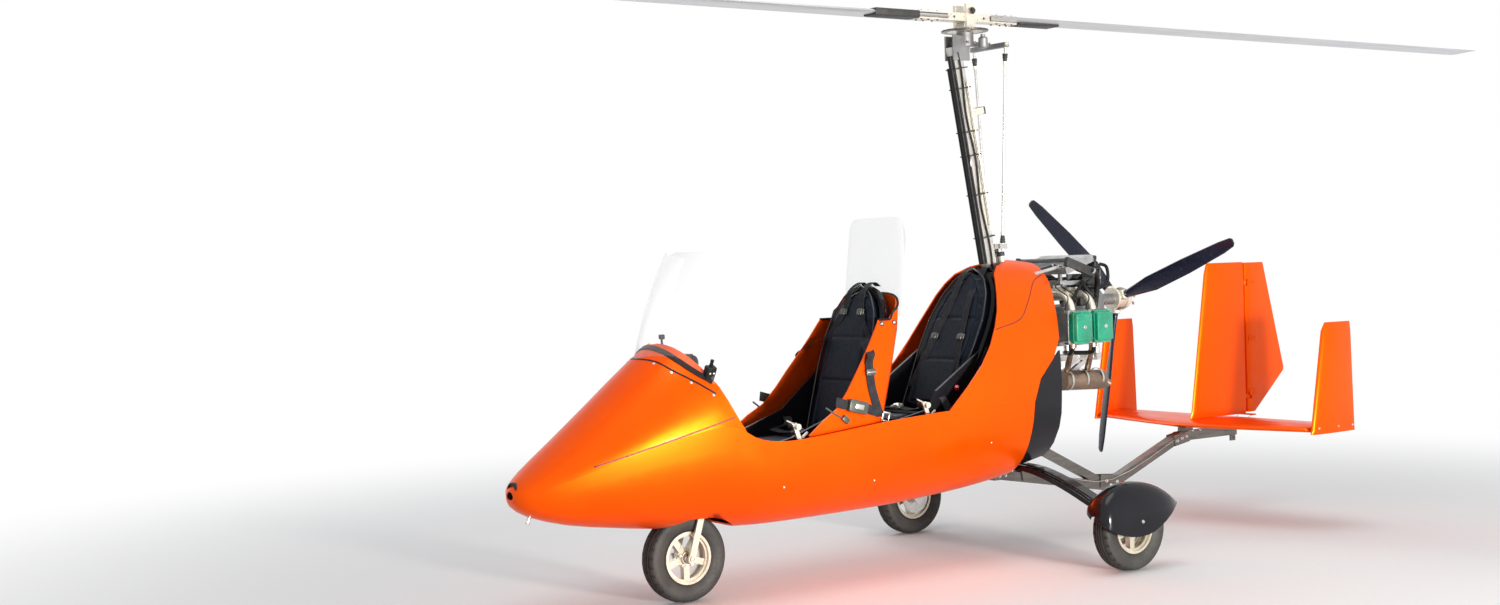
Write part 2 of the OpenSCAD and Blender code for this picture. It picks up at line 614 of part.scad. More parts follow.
fork_in = tyre_w / 2 + 9;
bridge_low = tyre_d / 2 + 9;
head_low = bridge_low + 20 + seat_gap;
module nose_fork() {
    color(steel) steering_frame() {
        difference() {
            union() {
                for (x = [-1, 1]) {
                    translate([x * (fork_in + 6) - 6, -16, 0]) cube([12, 32, bridge_low + 20]);
                    translate([x * (fork_in + 6) - 6, 0, 0]) rotate([0, 90, 0]) cylinder(r = 20, h = 12);
                }
                translate([-fork_in - 12, -24, bridge_low]) cube([2 * fork_in + 24, 48, 20]);
                translate([0, 0, bridge_low + 18]) cylinder(r = stem_r, h = 176);
                translate([-fork_in - 20, 0, 0]) rotate([0, 90, 0]) cylinder(r = axle_r, h = 2 * fork_in + 40);
            }
            translate([-fork_in - 30, 0, 0]) rotate([0, 90, 0]) cylinder(r = 6, h = 2 * fork_in + 60);
        }
    }
}
module nose_tyre() { color(black) translate([0, nose_y, axle_z]) tyre(); }
module nose_rim() { color(cream) translate([0, nose_y, axle_z]) rim(); }

// ---- tail ----

// Half section of a streamlined plate: share along its chord, share of its half thickness
FOIL = [[0, 0], [0.02, 0.42], [0.07, 0.72], [0.18, 0.95], [0.34, 1], [0.58, 0.82], [0.8, 0.48], [1, 0.12]];
function foil_loop(le, te, thick) = [
    for (f = FOIL) [mix(le, te, f[0]), f[1] * thick / 2],
    for (i = [len(FOIL) - 1 : -1 : 1]) [mix(le, te, FOIL[i][0]), -FOIL[i][1] * thick / 2]];

// share of the half span, leading edge y, trailing edge y
STABILIZER = [[-1, 1700, 2050], [-0.97, 1660, 2050], [-0.3, 1510, 2050], [0, 1462, 2050],
    [0.3, 1510, 2050], [0.97, 1660, 2050], [1, 1700, 2050]];
module stabilizer() {
    reach = tail_span / 2 - tail_thick / 2 - seat_gap;
    color(orange) loft([for (r = STABILIZER)
        [for (p = foil_loop(r[1], r[2], tail_thick)) [r[0] * reach, p.x, tail_z + p.y]]]);
}
// share of the height, leading edge y, trailing edge y, share of the thickness
WINGLET = [[0, 1655, 2025, 0.8], [0.04, 1662, 2022, 1], [0.92, 1762, 2006, 1], [1, 1790, 2000, 0.6]];
module winglets() {
    color(orange) left_right() loft([for (r = WINGLET)
        [for (p = foil_loop(r[1], r[2], tail_thick * r[3]))
            [tail_span / 2 + p.y, p.x, tail_z - 24 + r[0] * (winglet_h + 24)]]]);
}
fin_low = tail_z + tail_thick / 2 + seat_gap;
fin_top = tail_z + fin_h;
hinge_y = 2100;
hinge_r = 9;
FIN = [[0, 1612, 0.8], [0.05, 1625, 1], [0.93, 1755, 1], [1, 1775, 0.7]];
function fin_loop(le, te, thick) =
    let (n = len(FOIL) - 2)
    [for (i = [0 : n]) [mix(le, te, FOIL[i][0] / FOIL[n][0]), max(FOIL[i][1], i > 3 ? 0.75 : 0) * thick / 2],
    for (i = [n : -1 : 1]) [mix(le, te, FOIL[i][0] / FOIL[n][0]), -max(FOIL[i][1], i > 3 ? 0.75 : 0) * thick / 2]];
module fin() {
    color(orange) {
        loft([for (r = FIN) [for (p = fin_loop(r[1], hinge_y - 26, tail_thick * r[2]))
            [p.y, p.x, mix(fin_low, fin_top, r[0])]]]);
        // Hinge brackets that hold the rudder's pin
        for (z = [fin_low + 90, fin_top - 130]) difference() {
            union() {
                translate([-10, hinge_y - 40, z]) cube([20, 40, 22]);
                translate([0, hinge_y, z]) cylinder(r = hinge_r + 5, h = 22);
            }
            translate([0, hinge_y, z - 1]) cylinder(r = hinge_r + running_fit, h = 24);
        }
    }
}
// height, front y, rear y
rudder_low = fin_low + 8;
RUDDER = [[0, 2167], [0.26, 2425], [0.28, 2428], [1, 2262]];
module rudder() {
    high = fin_top - 4;
    color(orange) difference() {
        union() {
            loft([for (r = RUDDER)
                let (te = r[1], z = mix(rudder_low, high, r[0]), h = tail_thick / 2 - 4)
                [[0, hinge_y - 12, z], [h * 0.7, hinge_y - 7, z], [h, hinge_y + 6, z], [h * 0.95, hinge_y + 40, z],
                    [3, te, z], [-3, te, z], [-h * 0.95, hinge_y + 40, z], [-h, hinge_y + 6, z],
                    [-h * 0.7, hinge_y - 7, z]]]);
            translate([0, hinge_y, rudder_low]) cylinder(r = hinge_r, h = high - rudder_low);
        }
        for (z = [fin_low + 90, fin_top - 130]) difference() {
            translate([-40, hinge_y - 40, z - 6]) cube([80, 64, 34]);
            translate([0, hinge_y, z - 8]) cylinder(r = hinge_r, h = 40);
        }
    }
}

// ---- engine ----

crank_z = 1160;
block_low = crank_z - 105;
cyl_y = [455, 605];           // y of the two pairs of cylinders
module engine_block() {
    color([0.35, 0.33, 0.32]) {
        translate([-115, 345, block_low]) cube([230, 415, 205]);
        translate([0, 300, crank_z]) rotate([-90, 0, 0]) cylinder(r = 88, h = 50);
    }
}
module cylinder_heads() {
    color([0.45, 0.44, 0.43]) left_right() for (y = cyl_y) {
        translate([115 + seat_gap, y, crank_z]) rotate([0, 90, 0]) {
            cylinder(r = 52, h = 100);
            for (i = [0 : 5]) translate([0, 0, 12 + 14 * i]) cylinder(r = 64, h = 5);
        }
        translate([214, y - 66, crank_z - 72]) cube([76, 132, 144]);
    }
}
module rocker_covers() {
    color("seagreen") left_right() for (y = cyl_y)
        translate([290 + seat_gap, y, crank_z]) rotate([0, 90, 0]) {
            linear_extrude(34) offset(r = 26) square([116, 78], center = true);
            translate([0, 0, 33]) linear_extrude(14) offset(r = 20) square([92, 60], center = true);
        }
}
module intake_manifold() {
    pipe_r = 20;
    bend = 95;
    color(cream) left_right() {
        for (y = cyl_y) translate([150, y + 8, crank_z + 72 + seat_gap]) {
            rotate([90, 0, 0]) rotate_extrude(angle = 90) translate([bend, 0]) circle(r = pipe_r);
        }
        for (y = cyl_y) translate([60, y + 8, crank_z + 72 + seat_gap + bend]) rotate([0, 90, 0]) cylinder(r = pipe_r, h = 91);
        translate([62, cyl_y[0] - 40, crank_z + 72 + seat_gap + bend]) rotate([-90, 0, 0]) cylinder(r = 34, h = 250);
    }
}
module gearbox() {
    color([0.5, 0.48, 0.45]) {
        hull() {
            translate([0, 760 + seat_gap, crank_z]) rotate([-90, 0, 0]) cylinder(r = 85, h = 110);
            translate([0, 760 + seat_gap, prop_z]) rotate([-90, 0, 0]) cylinder(r = 60, h = 130);
        }
        translate([0, 880, prop_z]) rotate([-90, 0, 0]) cylinder(r = 30, h = prop_y - 44 - 880);
    }
}
plenum_top = crank_z + 72 + seat_gap + 95 + 34;
module radiator() {
    color(steel) {
        translate([-190, 490, 1432]) rotate([18, 0, 0]) cube([380, 210, 36]);
        for (x = [-120, 120]) translate([x - 8, 500, 1392]) cube([16, 16, 60]);
        translate([-150, 480, 1375]) cube([300, 150, 22]);
    }
    color(steel) for (x = [-74, 50]) translate([x, 500, plenum_top + seat_gap]) cube([24, 100, 1376 - plenum_top]);
}
module coolant_tank() {
    color(black) {
        translate([0, 855, prop_z + 60 + seat_gap]) cylinder(r = 52, h = 122);
        translate([0, 855, prop_z + 181]) cylinder(r = 26, h = 45);
        translate([-60, 730, prop_z + 74]) cube([120, 110, 70]);
    }
}
can_z = 868;           // height of the silencer
module exhaust() {
    color([0.42, 0.33, 0.27]) {
        for (x = [-1, 1], y = cyl_y)
            rod([x * 250, y, crank_z - 72 - 18], [x * 100, y + 90, can_z + 10], 16);
        for (x = [-1, 1], y = cyl_y) translate([x * 250, y, crank_z - 110]) cylinder(r = 22, h = 38 - seat_gap);
        translate([120, 500, can_z + 6]) rotate([-92, 0, 0]) cylinder(r = 52, h = 290);
        translate([-95, 500, can_z + 6]) rotate([-90, 0, 0]) cylinder(r = 30, h = 245);
        translate([-95, 715, can_z + 4]) rotate([0, 90, 0]) cylinder(r = 26, h = 180);
    }
}

// ---- rotor and propeller ----

bearing_r = 44;
shaft_r = rotor_shaft_d / 2;
bearing_top = blade_z - 72;
module rotor_head() {
    color(steel) {
        difference() {
            translate([0, 0, bearing_top - 70]) cylinder(r = bearing_r, h = 70);
            translate([0, 0, bearing_top - 71]) cylinder(r = shaft_r + running_fit, h = 72);
        }
        // Cheeks that hold the bearing on the mast's top
        for (x = [-1, 1]) translate([x * (mast_w / 2 + seat_gap) + (x < 0 ? -8 : 0), -110, 2540])
            cube([8, 110, bearing_top - 2540 - 20]);
        translate([-mast_w / 2 - 8, -80, 2618]) cube([mast_w + 16, 50, 24]);
        // Control arm that runs back to the two rods
        translate([-15, 35, 2618]) cube([30, 125, 22]);
        translate([-132, 150, 2606]) cube([264, 30, 24]);
    }
}
module control_rods() {
    color(steel) {
        left_right() rod([50, 172, 1566], [120, 165, 2606 - seat_gap], 7);
        translate([-70, lever_y, 1575]) cube([140, 188 - lever_y, 26]);
    }
}
lever_y = mast_at(1575) + mast_d / 2 / cos(mast_lean) + seat_gap;
function mast_at(z) = foot_y - (z - foot_z) * tan(mast_lean);
module rotor_hub() {
    color(cream) {
        translate([0, 0, bearing_top - 66]) cylinder(r = shaft_r, h = 80);
        translate([0, 0, bearing_top + 5]) cylinder(r = 112, h = 8);
        for (x = [-1, 1]) translate([x * 44 - 8, -30, bearing_top + 12]) cube([16, 60, 130]);
        translate([-52, -30, bearing_top + 12]) cube([104, 60, 14]);
        translate([-62, 0, blade_z + 34]) rotate([0, 90, 0]) cylinder(r = 11, h = 124);
        translate([-36, -140, blade_z - 17.2]) cube([72, 280, 41.4]);
        for (x = [-36, 6], y = [-330, 130], z = [-17.2, 16.2])
            translate([x, y, blade_z + z]) cube([30, 200, 8]);
    }
}
module rotor_blades() {
    root = 145;
    thick = blade_chord * blade_camber;
    // share of the chord, share of the half thickness above and below
    foil = [[0, 0, 0], [0.02, 0.5, 0.36], [0.08, 0.95, 0.6], [0.2, 1.28, 0.72], [0.35, 1.32, 0.68],
        [0.6, 0.98, 0.42], [0.85, 0.42, 0.16], [1, 0.06, 0.04]];
    color([0.8, 0.8, 0.82]) for (turn = [0, 180]) rotate([0, 0, turn])
        translate([0, rotor_d / 2, blade_z]) rotate([90, 0, 0]) linear_extrude(rotor_d / 2 - root) polygon([
            for (f = foil) [-blade_chord * (0.25 - f[0]), f[1] * thick / 2],
            for (i = [len(foil) - 1 : -1 : 1]) [-blade_chord * (0.25 - foil[i][0]), -foil[i][2] * thick / 2]]);
}
spinner_r = 62;
module propeller_hub() {
    color(cream) translate([0, prop_y, prop_z]) rotate([-90, 0, 0]) {
        translate([0, 0, -44 + seat_gap]) cylinder(r = 60, h = 16);
        translate([0, 0, -30]) cylinder(r = 48, h = 60);
        translate([0, 0, 26]) rotate_extrude() intersection() {
            scale([1, 1.1]) circle(r = spinner_r);
            square(spinner_r * 1.2);
        }
    }
}
// share of the radius, chord, thickness, pitch
PROP = [[0.0565, 46, 40, 60], [0.12, 56, 30, 52], [0.3, 96, 20, 38], [0.6, 88, 13, 24], [0.9, 66, 9, 17], [0.985, 48, 7, 16],
    [1, 26, 4, 16]];
module propeller_blades() {
    color(black) translate([0, prop_y, prop_z]) for (i = [0 : prop_blades - 1]) rotate([0, prop_park + 360 / prop_blades * i, 0])
        loft([for (r = PROP) [for (p = foil_loop(-r[1] * 0.4, r[1] * 0.6, r[2]))
            [p.x * cos(r[3]) - p.y * sin(r[3]), p.x * sin(r[3]) + p.y * cos(r[3]), r[0] * prop_d / 2]]]);
}

fuselage_pod();
nose_cowl();
rear_cowl();
side_panels();
cockpit_floor();
firewall();
instrument_panel();
windshield_front();
windshield_rear();
seat_shells();
seat_cushions();
back_cushions();
seat_fairing();
control_sticks();
throttle_levers();
rudder_pedals();
keel_frame();
mast();
engine_mount();
landing_gear_bow();
main_axles();
mudguards();
tyre_left();
rim_left();
tyre_right();
rim_right();
nose_fork();
nose_tyre();
nose_rim();
stabilizer();
winglets();
fin();
rudder();
engine_block();
cylinder_heads();
rocker_covers();
intake_manifold();
gearbox();
radiator();
coolant_tank();
exhaust();
rotor_head();
control_rods();
rotor_hub();
rotor_blades();
propeller_hub();
propeller_blades();
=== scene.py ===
# Finishes and small fittings of a two-seat open gyrocopter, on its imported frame.
import json
import math

import bmesh
import bpy
from mathutils import Matrix, Vector
from mathutils.bvhtree import BVHTree


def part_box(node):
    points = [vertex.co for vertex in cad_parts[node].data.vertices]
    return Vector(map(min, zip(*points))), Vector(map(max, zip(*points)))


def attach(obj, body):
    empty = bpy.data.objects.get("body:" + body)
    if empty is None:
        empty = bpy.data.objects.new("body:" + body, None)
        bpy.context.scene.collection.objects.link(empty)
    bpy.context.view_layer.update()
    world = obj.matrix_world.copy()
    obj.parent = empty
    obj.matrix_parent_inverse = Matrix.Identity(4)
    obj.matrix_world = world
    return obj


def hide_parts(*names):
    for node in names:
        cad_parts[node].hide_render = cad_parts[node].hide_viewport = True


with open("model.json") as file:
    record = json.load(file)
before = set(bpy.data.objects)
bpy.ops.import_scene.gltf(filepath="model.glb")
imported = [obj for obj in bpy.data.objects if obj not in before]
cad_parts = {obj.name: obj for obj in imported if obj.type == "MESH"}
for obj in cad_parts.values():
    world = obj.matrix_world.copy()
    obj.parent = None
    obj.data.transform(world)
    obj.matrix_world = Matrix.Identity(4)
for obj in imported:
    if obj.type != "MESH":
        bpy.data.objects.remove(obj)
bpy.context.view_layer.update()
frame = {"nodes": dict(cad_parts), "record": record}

nodes = frame["nodes"]
home = {}
for body, members in frame["record"]["behaviour"]["bodies"].items():
    for name in members:
        home[name] = body


# ---- camera, lamps, floor ----

def place_camera():
    lens = bpy.data.cameras.new("view")
    lens.sensor_width = 36
    lens.lens = 42.177
    lens.clip_end = 300
    camera = bpy.data.objects.new("view", lens)
    ahead = Vector((-0.82496, 0.56475, -0.0223)).normalized()
    right = ahead.cross(Vector((-0.000995, 0.038001, 0.999277))).normalized()
    turn = Matrix((right, right.cross(ahead), -ahead)).transposed().to_4x4()
    camera.matrix_world = Matrix.Translation((6.8041, -6.0418, 1.5401)) @ turn
    bpy.context.collection.objects.link(camera)
    bpy.context.scene.camera = camera


def add(tree, kind, inputs=None, **settings):
    made = tree.nodes.new(kind)
    for key, value in settings.items():
        setattr(made, key, value)
    for key, value in (inputs or {}).items():
        if isinstance(value, bpy.types.NodeSocket):
            tree.links.new(value, made.inputs[key])
        else:
            made.inputs[key].default_value = value
    return made


def lamp(name, place, target, size, power, tint=(1, 1, 1)):
    light = bpy.data.lights.new(name, "AREA")
    light.shape = "DISK"
    light.size = size
    light.energy = power
    light.color = tint
    holder = bpy.data.objects.new(name, light)
    aim = Vector(target) - Vector(place)
    holder.matrix_world = Matrix.Translation(place) @ aim.to_track_quat("-Z", "Y").to_matrix().to_4x4()
    bpy.context.collection.objects.link(holder)


def studio():
    view = bpy.context.scene.view_settings
    view.view_transform = "Standard"
    world = bpy.data.worlds.new("studio")
    bpy.context.scene.world = world
    world.use_nodes = True
    tree = world.node_tree
    tree.nodes.clear()
    ray = add(tree, "ShaderNodeLightPath")
    mirror = add(tree, "ShaderNodeMath",
                 {0: ray.outputs["Is Glossy Ray"], 1: ray.outputs["Is Transmission Ray"]},
                 operation="ADD")
    seen = add(tree, "ShaderNodeMath", {0: ray.outputs["Is Camera Ray"], 1: mirror.outputs[0]},
               operation="ADD", use_clamp=True)
    soft = add(tree, "ShaderNodeBackground", {"Color": (0.93, 0.96, 1, 1), "Strength": 0.38})
    white = add(tree, "ShaderNodeBackground", {"Color": (1, 1, 1, 1), "Strength": 1})
    both = add(tree, "ShaderNodeMixShader", {0: seen.outputs[0], 1: soft.outputs[0], 2: white.outputs[0]})
    add(tree, "ShaderNodeOutputWorld", {"Surface": both.outputs[0]})
    lamp("key", (8.9, -0.9, 0.95), (0, -0.8, 0.8), 1.2, 1150, (1, 0.96, 0.9))
    lamp("above", (1.5, -1.0, 8.0), (0, 0, 0.8), 5, 160)
    lamp("far_side", (-6, 2, 5), (0, 0, 1), 4, 90)
    sheet = bmesh.new()
    bmesh.ops.create_grid(sheet, x_segments=2, y_segments=2, size=60)
    bmesh.ops.translate(sheet, verts=sheet.verts, vec=(0, 0, -0.0005))
    mesh = bpy.data.meshes.new("floor")
    sheet.to_mesh(mesh)
    sheet.free()
    floor = bpy.data.objects.new("floor", mesh)
    bpy.context.collection.objects.link(floor)
    pale = bpy.data.materials.new("pale_floor")
    pale.use_nodes = True
    tree = pale.node_tree
    tree.nodes.clear()
    ray = add(tree, "ShaderNodeLightPath")
    place = add(tree, "ShaderNodeTexCoord")
    far = add(tree, "ShaderNodeVectorMath", {0: place.outputs["Object"]}, operation="LENGTH")
    fade = add(tree, "ShaderNodeMapRange", {0: far.outputs["Value"], 1: 2.5, 2: 7.0, 3: 0.0, 4: 1.0})
    fade.interpolation_type = "SMOOTHSTEP"
    mirror = add(tree, "ShaderNodeMath",
                 {0: ray.outputs["Is Glossy Ray"], 1: ray.outputs["Is Transmission Ray"]},
                 operation="ADD")
    seen = add(tree, "ShaderNodeMath", {0: ray.outputs["Is Camera Ray"], 1: mirror.outputs[0]},
               operation="ADD", use_clamp=True)
    part = add(tree, "ShaderNodeMath", {0: seen.outputs[0], 1: fade.outputs[0]}, operation="MULTIPLY")
    speck = add(tree, "ShaderNodeTexNoise",
                {"Vector": place.outputs["Object"], "Scale": 30.0, "Detail": 4.0})
    shade = add(tree, "ShaderNodeMix",
                {0: speck.outputs[0], 6: (0.9, 0.9, 0.9, 1), 7: (0.95, 0.95, 0.95, 1)},
                data_type="RGBA")
    plain = add(tree, "ShaderNodeBsdfPrincipled", {"Base Color": shade.outputs[2], "Roughness": 0.8})
    glow = add(tree, "ShaderNodeEmission", {"Color": (1, 1, 1, 1), "Strength": 1})
    both = add(tree, "ShaderNodeMixShader", {0: part.outputs[0], 1: plain.outputs[0], 2: glow.outputs[0]})
    add(tree, "ShaderNodeOutputMaterial", {"Surface": both.outputs[0]})
    mesh.materials.append(pale)


place_camera()
studio()


# ---- effects shared by the finishes ----

def effect(name, inputs, outputs):
    tree = bpy.data.node_groups.new(name, "ShaderNodeTree")
    for label, kind, value in inputs:
        socket = tree.interface.new_socket(label, in_out="INPUT", socket_type="NodeSocket" + kind)
        if value is not None:
            socket.default_value = value
    for label, kind in outputs:
        tree.interface.new_socket(label, in_out="OUTPUT", socket_type="NodeSocket" + kind)
    return tree, tree.nodes.new("NodeGroupInput").outputs, tree.nodes.new("NodeGroupOutput")


def spread_effect():
    """Broad change of tone and fine change of shine over a surface."""
    tree, given, out = effect("tone_spread", [
        ("Vector", "Vector", None), ("Scale", "Float", 4.0), ("Light", "Color", (1, 1, 1, 1)),
        ("Dark", "Color", (0, 0, 0, 1)), ("Smooth", "Float", 0.3), ("Rough", "Float", 0.5)],
                              [("Colour", "Color"), ("Roughness", "Float")])
    broad = add(tree, "ShaderNodeTexNoise",
                {"Vector": given["Vector"], "Scale": given["Scale"], "Detail": 4.0})
    finer = add(tree, "ShaderNodeMath", {0: given["Scale"], 1: 7.0}, operation="MULTIPLY")
    fine = add(tree, "ShaderNodeTexNoise",
               {"Vector": given["Vector"], "Scale": finer.outputs[0], "Detail": 6.0})
    part = add(tree, "ShaderNodeMapRange", {0: broad.outputs[0], 1: 0.35, 2: 0.68})
    tone = add(tree, "ShaderNodeMix", {0: part.outputs[0], 6: given["Light"], 7: given["Dark"]},
               data_type="RGBA")
    shine = add(tree, "ShaderNodeMapRange", {0: fine.outputs[0], 1: 0.3, 2: 0.7, 3: given["Smooth"],
                                             4: given["Rough"]})
    tree.links.new(tone.outputs[2], out.inputs[0])
    tree.links.new(shine.outputs[0], out.inputs[1])
    return tree


def grain_effect():
    """Pebbled grain of vinyl, moulded plastic and sand castings."""
    tree, given, out = effect("pebble_grain", [("Vector", "Vector", None), ("Scale", "Float", 400.0)],
                              [("Height", "Float")])
    cells = add(tree, "ShaderNodeTexVoronoi", {"Vector": given["Vector"], "Scale": given["Scale"]},
                feature="SMOOTH_F1")
    grit = add(tree, "ShaderNodeTexNoise",
               {"Vector": given["Vector"], "Scale": given["Scale"], "Detail": 3.0})
    both = add(tree, "ShaderNodeMath", {0: cells.outputs[0], 1: grit.outputs[0]}, operation="ADD")
    tree.links.new(both.outputs[0], out.inputs[0])
    return tree


def weave_effect():
    """Over-and-under threads of cloth and webbing."""
    tree, given, out = effect("thread_weave", [("Vector", "Vector", None), ("Scale", "Float", 300.0)],
                              [("Height", "Float"), ("Gap", "Float")])
    across = add(tree, "ShaderNodeTexWave", {"Vector": given["Vector"], "Scale": given["Scale"],
                                             "Distortion": 0.4}, bands_direction="X")
    along = add(tree, "ShaderNodeTexWave", {"Vector": given["Vector"], "Scale": given["Scale"],
                                            "Distortion": 0.4}, bands_direction="Z")
    high = add(tree, "ShaderNodeMath", {0: across.outputs[1], 1: along.outputs[1]}, operation="MAXIMUM")
    low = add(tree, "ShaderNodeMapRange", {0: high.outputs[0], 1: 0.2, 2: 0.7, 3: 1.0, 4: 0.0})
    tree.links.new(high.outputs[0], out.inputs[0])
    tree.links.new(low.outputs[0], out.inputs[1])
    return tree


TONES = spread_effect()
GRAIN = grain_effect()
WEAVE = weave_effect()
finishes = {}


def finish(name, light, dark, rough=(0.3, 0.5), scale=4.0, grain=0.0, grain_scale=400.0, weave=0.0,
           stretch=(1, 1, 1), slot=None, **shader):
    """A finish from the shared effects; what stays even all over sits on the shader's own sockets."""
    made = bpy.data.materials.new(name)
    made.use_nodes = True
    tree = made.node_tree
    tree.nodes.clear()
    place = add(tree, "ShaderNodeTexCoord")
    mapped = add(tree, "ShaderNodeMapping", {"Vector": place.outputs["Object"], "Scale": stretch})
    tones = add(tree, "ShaderNodeGroup", node_tree=TONES)
    tree.links.new(mapped.outputs[0], tones.inputs["Vector"])
    tones.inputs["Scale"].default_value = scale
    tones.inputs["Light"].default_value = (*light, 1)
    tones.inputs["Dark"].default_value = (*dark, 1)
    tones.inputs["Smooth"].default_value = rough[0]
    tones.inputs["Rough"].default_value = rough[1]
    surface = add(tree, "ShaderNodeBsdfPrincipled", {"Base Color": tones.outputs[0],
                                                     "Roughness": tones.outputs[1]})
    for key, value in shader.items():
        surface.inputs[key.replace("_", " ")].default_value = value
    if grain or weave:
        relief = add(tree, "ShaderNodeGroup", node_tree=WEAVE if weave else GRAIN)
        tree.links.new(place.outputs["Object"], relief.inputs["Vector"])
        relief.inputs["Scale"].default_value = grain_scale
        bump = add(tree, "ShaderNodeBump", {"Strength": weave or grain, "Distance": 0.0006,
                                            "Height": relief.outputs[0]})
        tree.links.new(bump.outputs[0], surface.inputs["Normal"])
    add(tree, "ShaderNodeOutputMaterial", {"Surface": surface.outputs[0]})
    finishes[name] = made
    return made


finish("orange_shell", (0.95, 0.1, 0.0), (0.9, 0.085, 0.0), (0.31, 0.37), 1.6, Metallic=0.55,
       Coat_Weight=0.08, Coat_Roughness=0.1, Specular_IOR_Level=0.05)
finish("black_panel", (0.004, 0.004, 0.006), (0.006, 0.006, 0.009), (0.16, 0.24), 6, Coat_Weight=0.2,
       Specular_IOR_Level=0.2)
finish("seat_vinyl", (0.004, 0.004, 0.006), (0.007, 0.007, 0.009), (0.34, 0.46), 9, grain=0.15,
       grain_scale=900,
       Specular_IOR_Level=0.2)
finish("black_grip", (0.015, 0.015, 0.015), (0.03, 0.03, 0.03), (0.5, 0.65), 30, grain=0.5,
       grain_scale=900)
finish("bright_steel", (0.75, 0.74, 0.72), (0.6, 0.59, 0.57), (0.2, 0.36), 12, Metallic=1.0)
finish("frame_steel", (0.2, 0.185, 0.17), (0.14, 0.13, 0.12), (0.24, 0.42), 8, stretch=(6, 0.6, 6),
       grain=0.08, grain_scale=500, Metallic=0.9)
finish("mast_steel", (0.62, 0.6, 0.56), (0.5, 0.49, 0.46), (0.28, 0.42), 8, stretch=(6, 6, 0.6),
       slot="frame_steel",
       Metallic=0.7)
finish("tyre_rubber", (0.022, 0.021, 0.02), (0.04, 0.037, 0.033), (0.55, 0.75), 14, grain=0.3,
       grain_scale=500)
finish("cast_rim", (0.72, 0.66, 0.54), (0.6, 0.55, 0.45), (0.26, 0.4), 14, grain=0.15, grain_scale=600,
       Metallic=0.75)
finish("engine_casting", (0.3, 0.3, 0.3), (0.2, 0.2, 0.205), (0.4, 0.6), 12, grain=0.6, grain_scale=500,
       Metallic=0.8)
finish("green_cover", (0.01, 0.3, 0.17), (0.006, 0.22, 0.12), (0.2, 0.3), 9, Metallic=0.3,
       Coat_Weight=0.8)
finish("exhaust_steel", (0.36, 0.27, 0.2), (0.18, 0.12, 0.09), (0.25, 0.5), 9, grain=0.2, Metallic=1.0)
finish("blade_alloy", (0.62, 0.63, 0.65), (0.52, 0.53, 0.55), (0.3, 0.42), 5, stretch=(8, 0.5, 8),
       Metallic=0.85)
finish("propeller_black", (0.006, 0.008, 0.02), (0.01, 0.012, 0.03), (0.2, 0.3), 7,
       Specular_IOR_Level=0.35)
finish("radiator_core", (0.5, 0.5, 0.5), (0.3, 0.3, 0.31), (0.35, 0.55), 20, Metallic=0.9)
finish("cream_alloy", (0.78, 0.73, 0.62), (0.66, 0.62, 0.54), (0.25, 0.4), 10, Metallic=0.6,
       slot="cast_rim")
finish("black_rubber", (0.004, 0.004, 0.005), (0.01, 0.01, 0.011), (0.4, 0.55), 25, grain=0.15,
       slot="black_panel",
       Specular_IOR_Level=0.25)
finish("webbing", (0.018, 0.018, 0.022), (0.035, 0.035, 0.04), (0.6, 0.8), 30, weave=0.6, grain_scale=500,
       slot="seat_vinyl", Specular_IOR_Level=0.15)
finish("seat_cloth", (0.003, 0.007, 0.015), (0.005, 0.010, 0.02), (0.42, 0.6), 7, grain=0.35,
       grain_scale=600,
       slot="seat_vinyl", Specular_IOR_Level=0.15)
finish("piping", (0.012, 0.012, 0.015), (0.02, 0.02, 0.024), (0.15, 0.25), 20, slot="seat_vinyl")
finish("belt_buckle", (0.07, 0.075, 0.06), (0.05, 0.055, 0.045), (0.3, 0.45), 30, grain=0.3,
       slot="black_grip")
finish("red_knob", (0.5, 0.02, 0.02), (0.4, 0.015, 0.015), (0.25, 0.35), 30, slot="black_grip",
       Coat_Weight=0.4)
finish("dial_face", (0.01, 0.01, 0.01), (0.02, 0.02, 0.02), (0.4, 0.5), 40, slot="black_panel")
finish("dial_mark", (0.85, 0.85, 0.8), (0.75, 0.75, 0.7), (0.4, 0.5), 40, slot="black_panel")
finish("seam_shadow", (0.12, 0.01, 0.001), (0.08, 0.008, 0.001), (0.5, 0.6), 10, slot="black_panel")


def screen_finish(name, slot):
    """Clear acrylic: almost unseen face on, paler and shinier edge on; the paleness edge on is a painted
    sheen of its white base.
    """
    made = finish(name, (0.94, 0.97, 0.98), (0.9, 0.94, 0.96), (0.02, 0.05), 3, slot=slot, Alpha=0.14,
                  IOR=1.49)
    tree = made.node_tree
    surface = next(n for n in tree.nodes if n.type == "BSDF_PRINCIPLED")
    # The facing term raises the alpha at grazing angles, so the white base shows there: painted sheen,
    # besides the shader's own shine.
    rim = add(tree, "ShaderNodeLayerWeight", {"Blend": 0.3})
    place = next(n for n in tree.nodes if n.type == "TEX_COORD")
    smear = add(tree, "ShaderNodeTexNoise",
                {"Vector": place.outputs["Object"], "Scale": 3.0, "Detail": 4.0})
    painted_edge_sheen = add(tree, "ShaderNodeMapRange", {0: rim.outputs["Facing"], 1: 0.0, 2: 1.0, 3: 0.03, 4: 0.32})
    part = add(tree, "ShaderNodeMapRange", {0: smear.outputs[0], 1: 0.3, 2: 0.7, 3: 0.85, 4: 1.1})
    both = add(tree, "ShaderNodeMath", {0: painted_edge_sheen.outputs[0], 1: part.outputs[0]}, operation="MULTIPLY")
    tree.links.new(both.outputs[0], surface.inputs["Alpha"])


screen_finish("clear_screen", "clear_screen")


THRUST_Z = 1.285  # height of the propeller's shaft
ROTOR_Z = 2.757   # height of the blades' plane
SHELL_AXIS_Z = 0.75

# ---- making pieces ----

def blanks(count):
    """So many empty shapes, one for each finish in a group of fittings."""
    return [bmesh.new() for _ in range(count)]


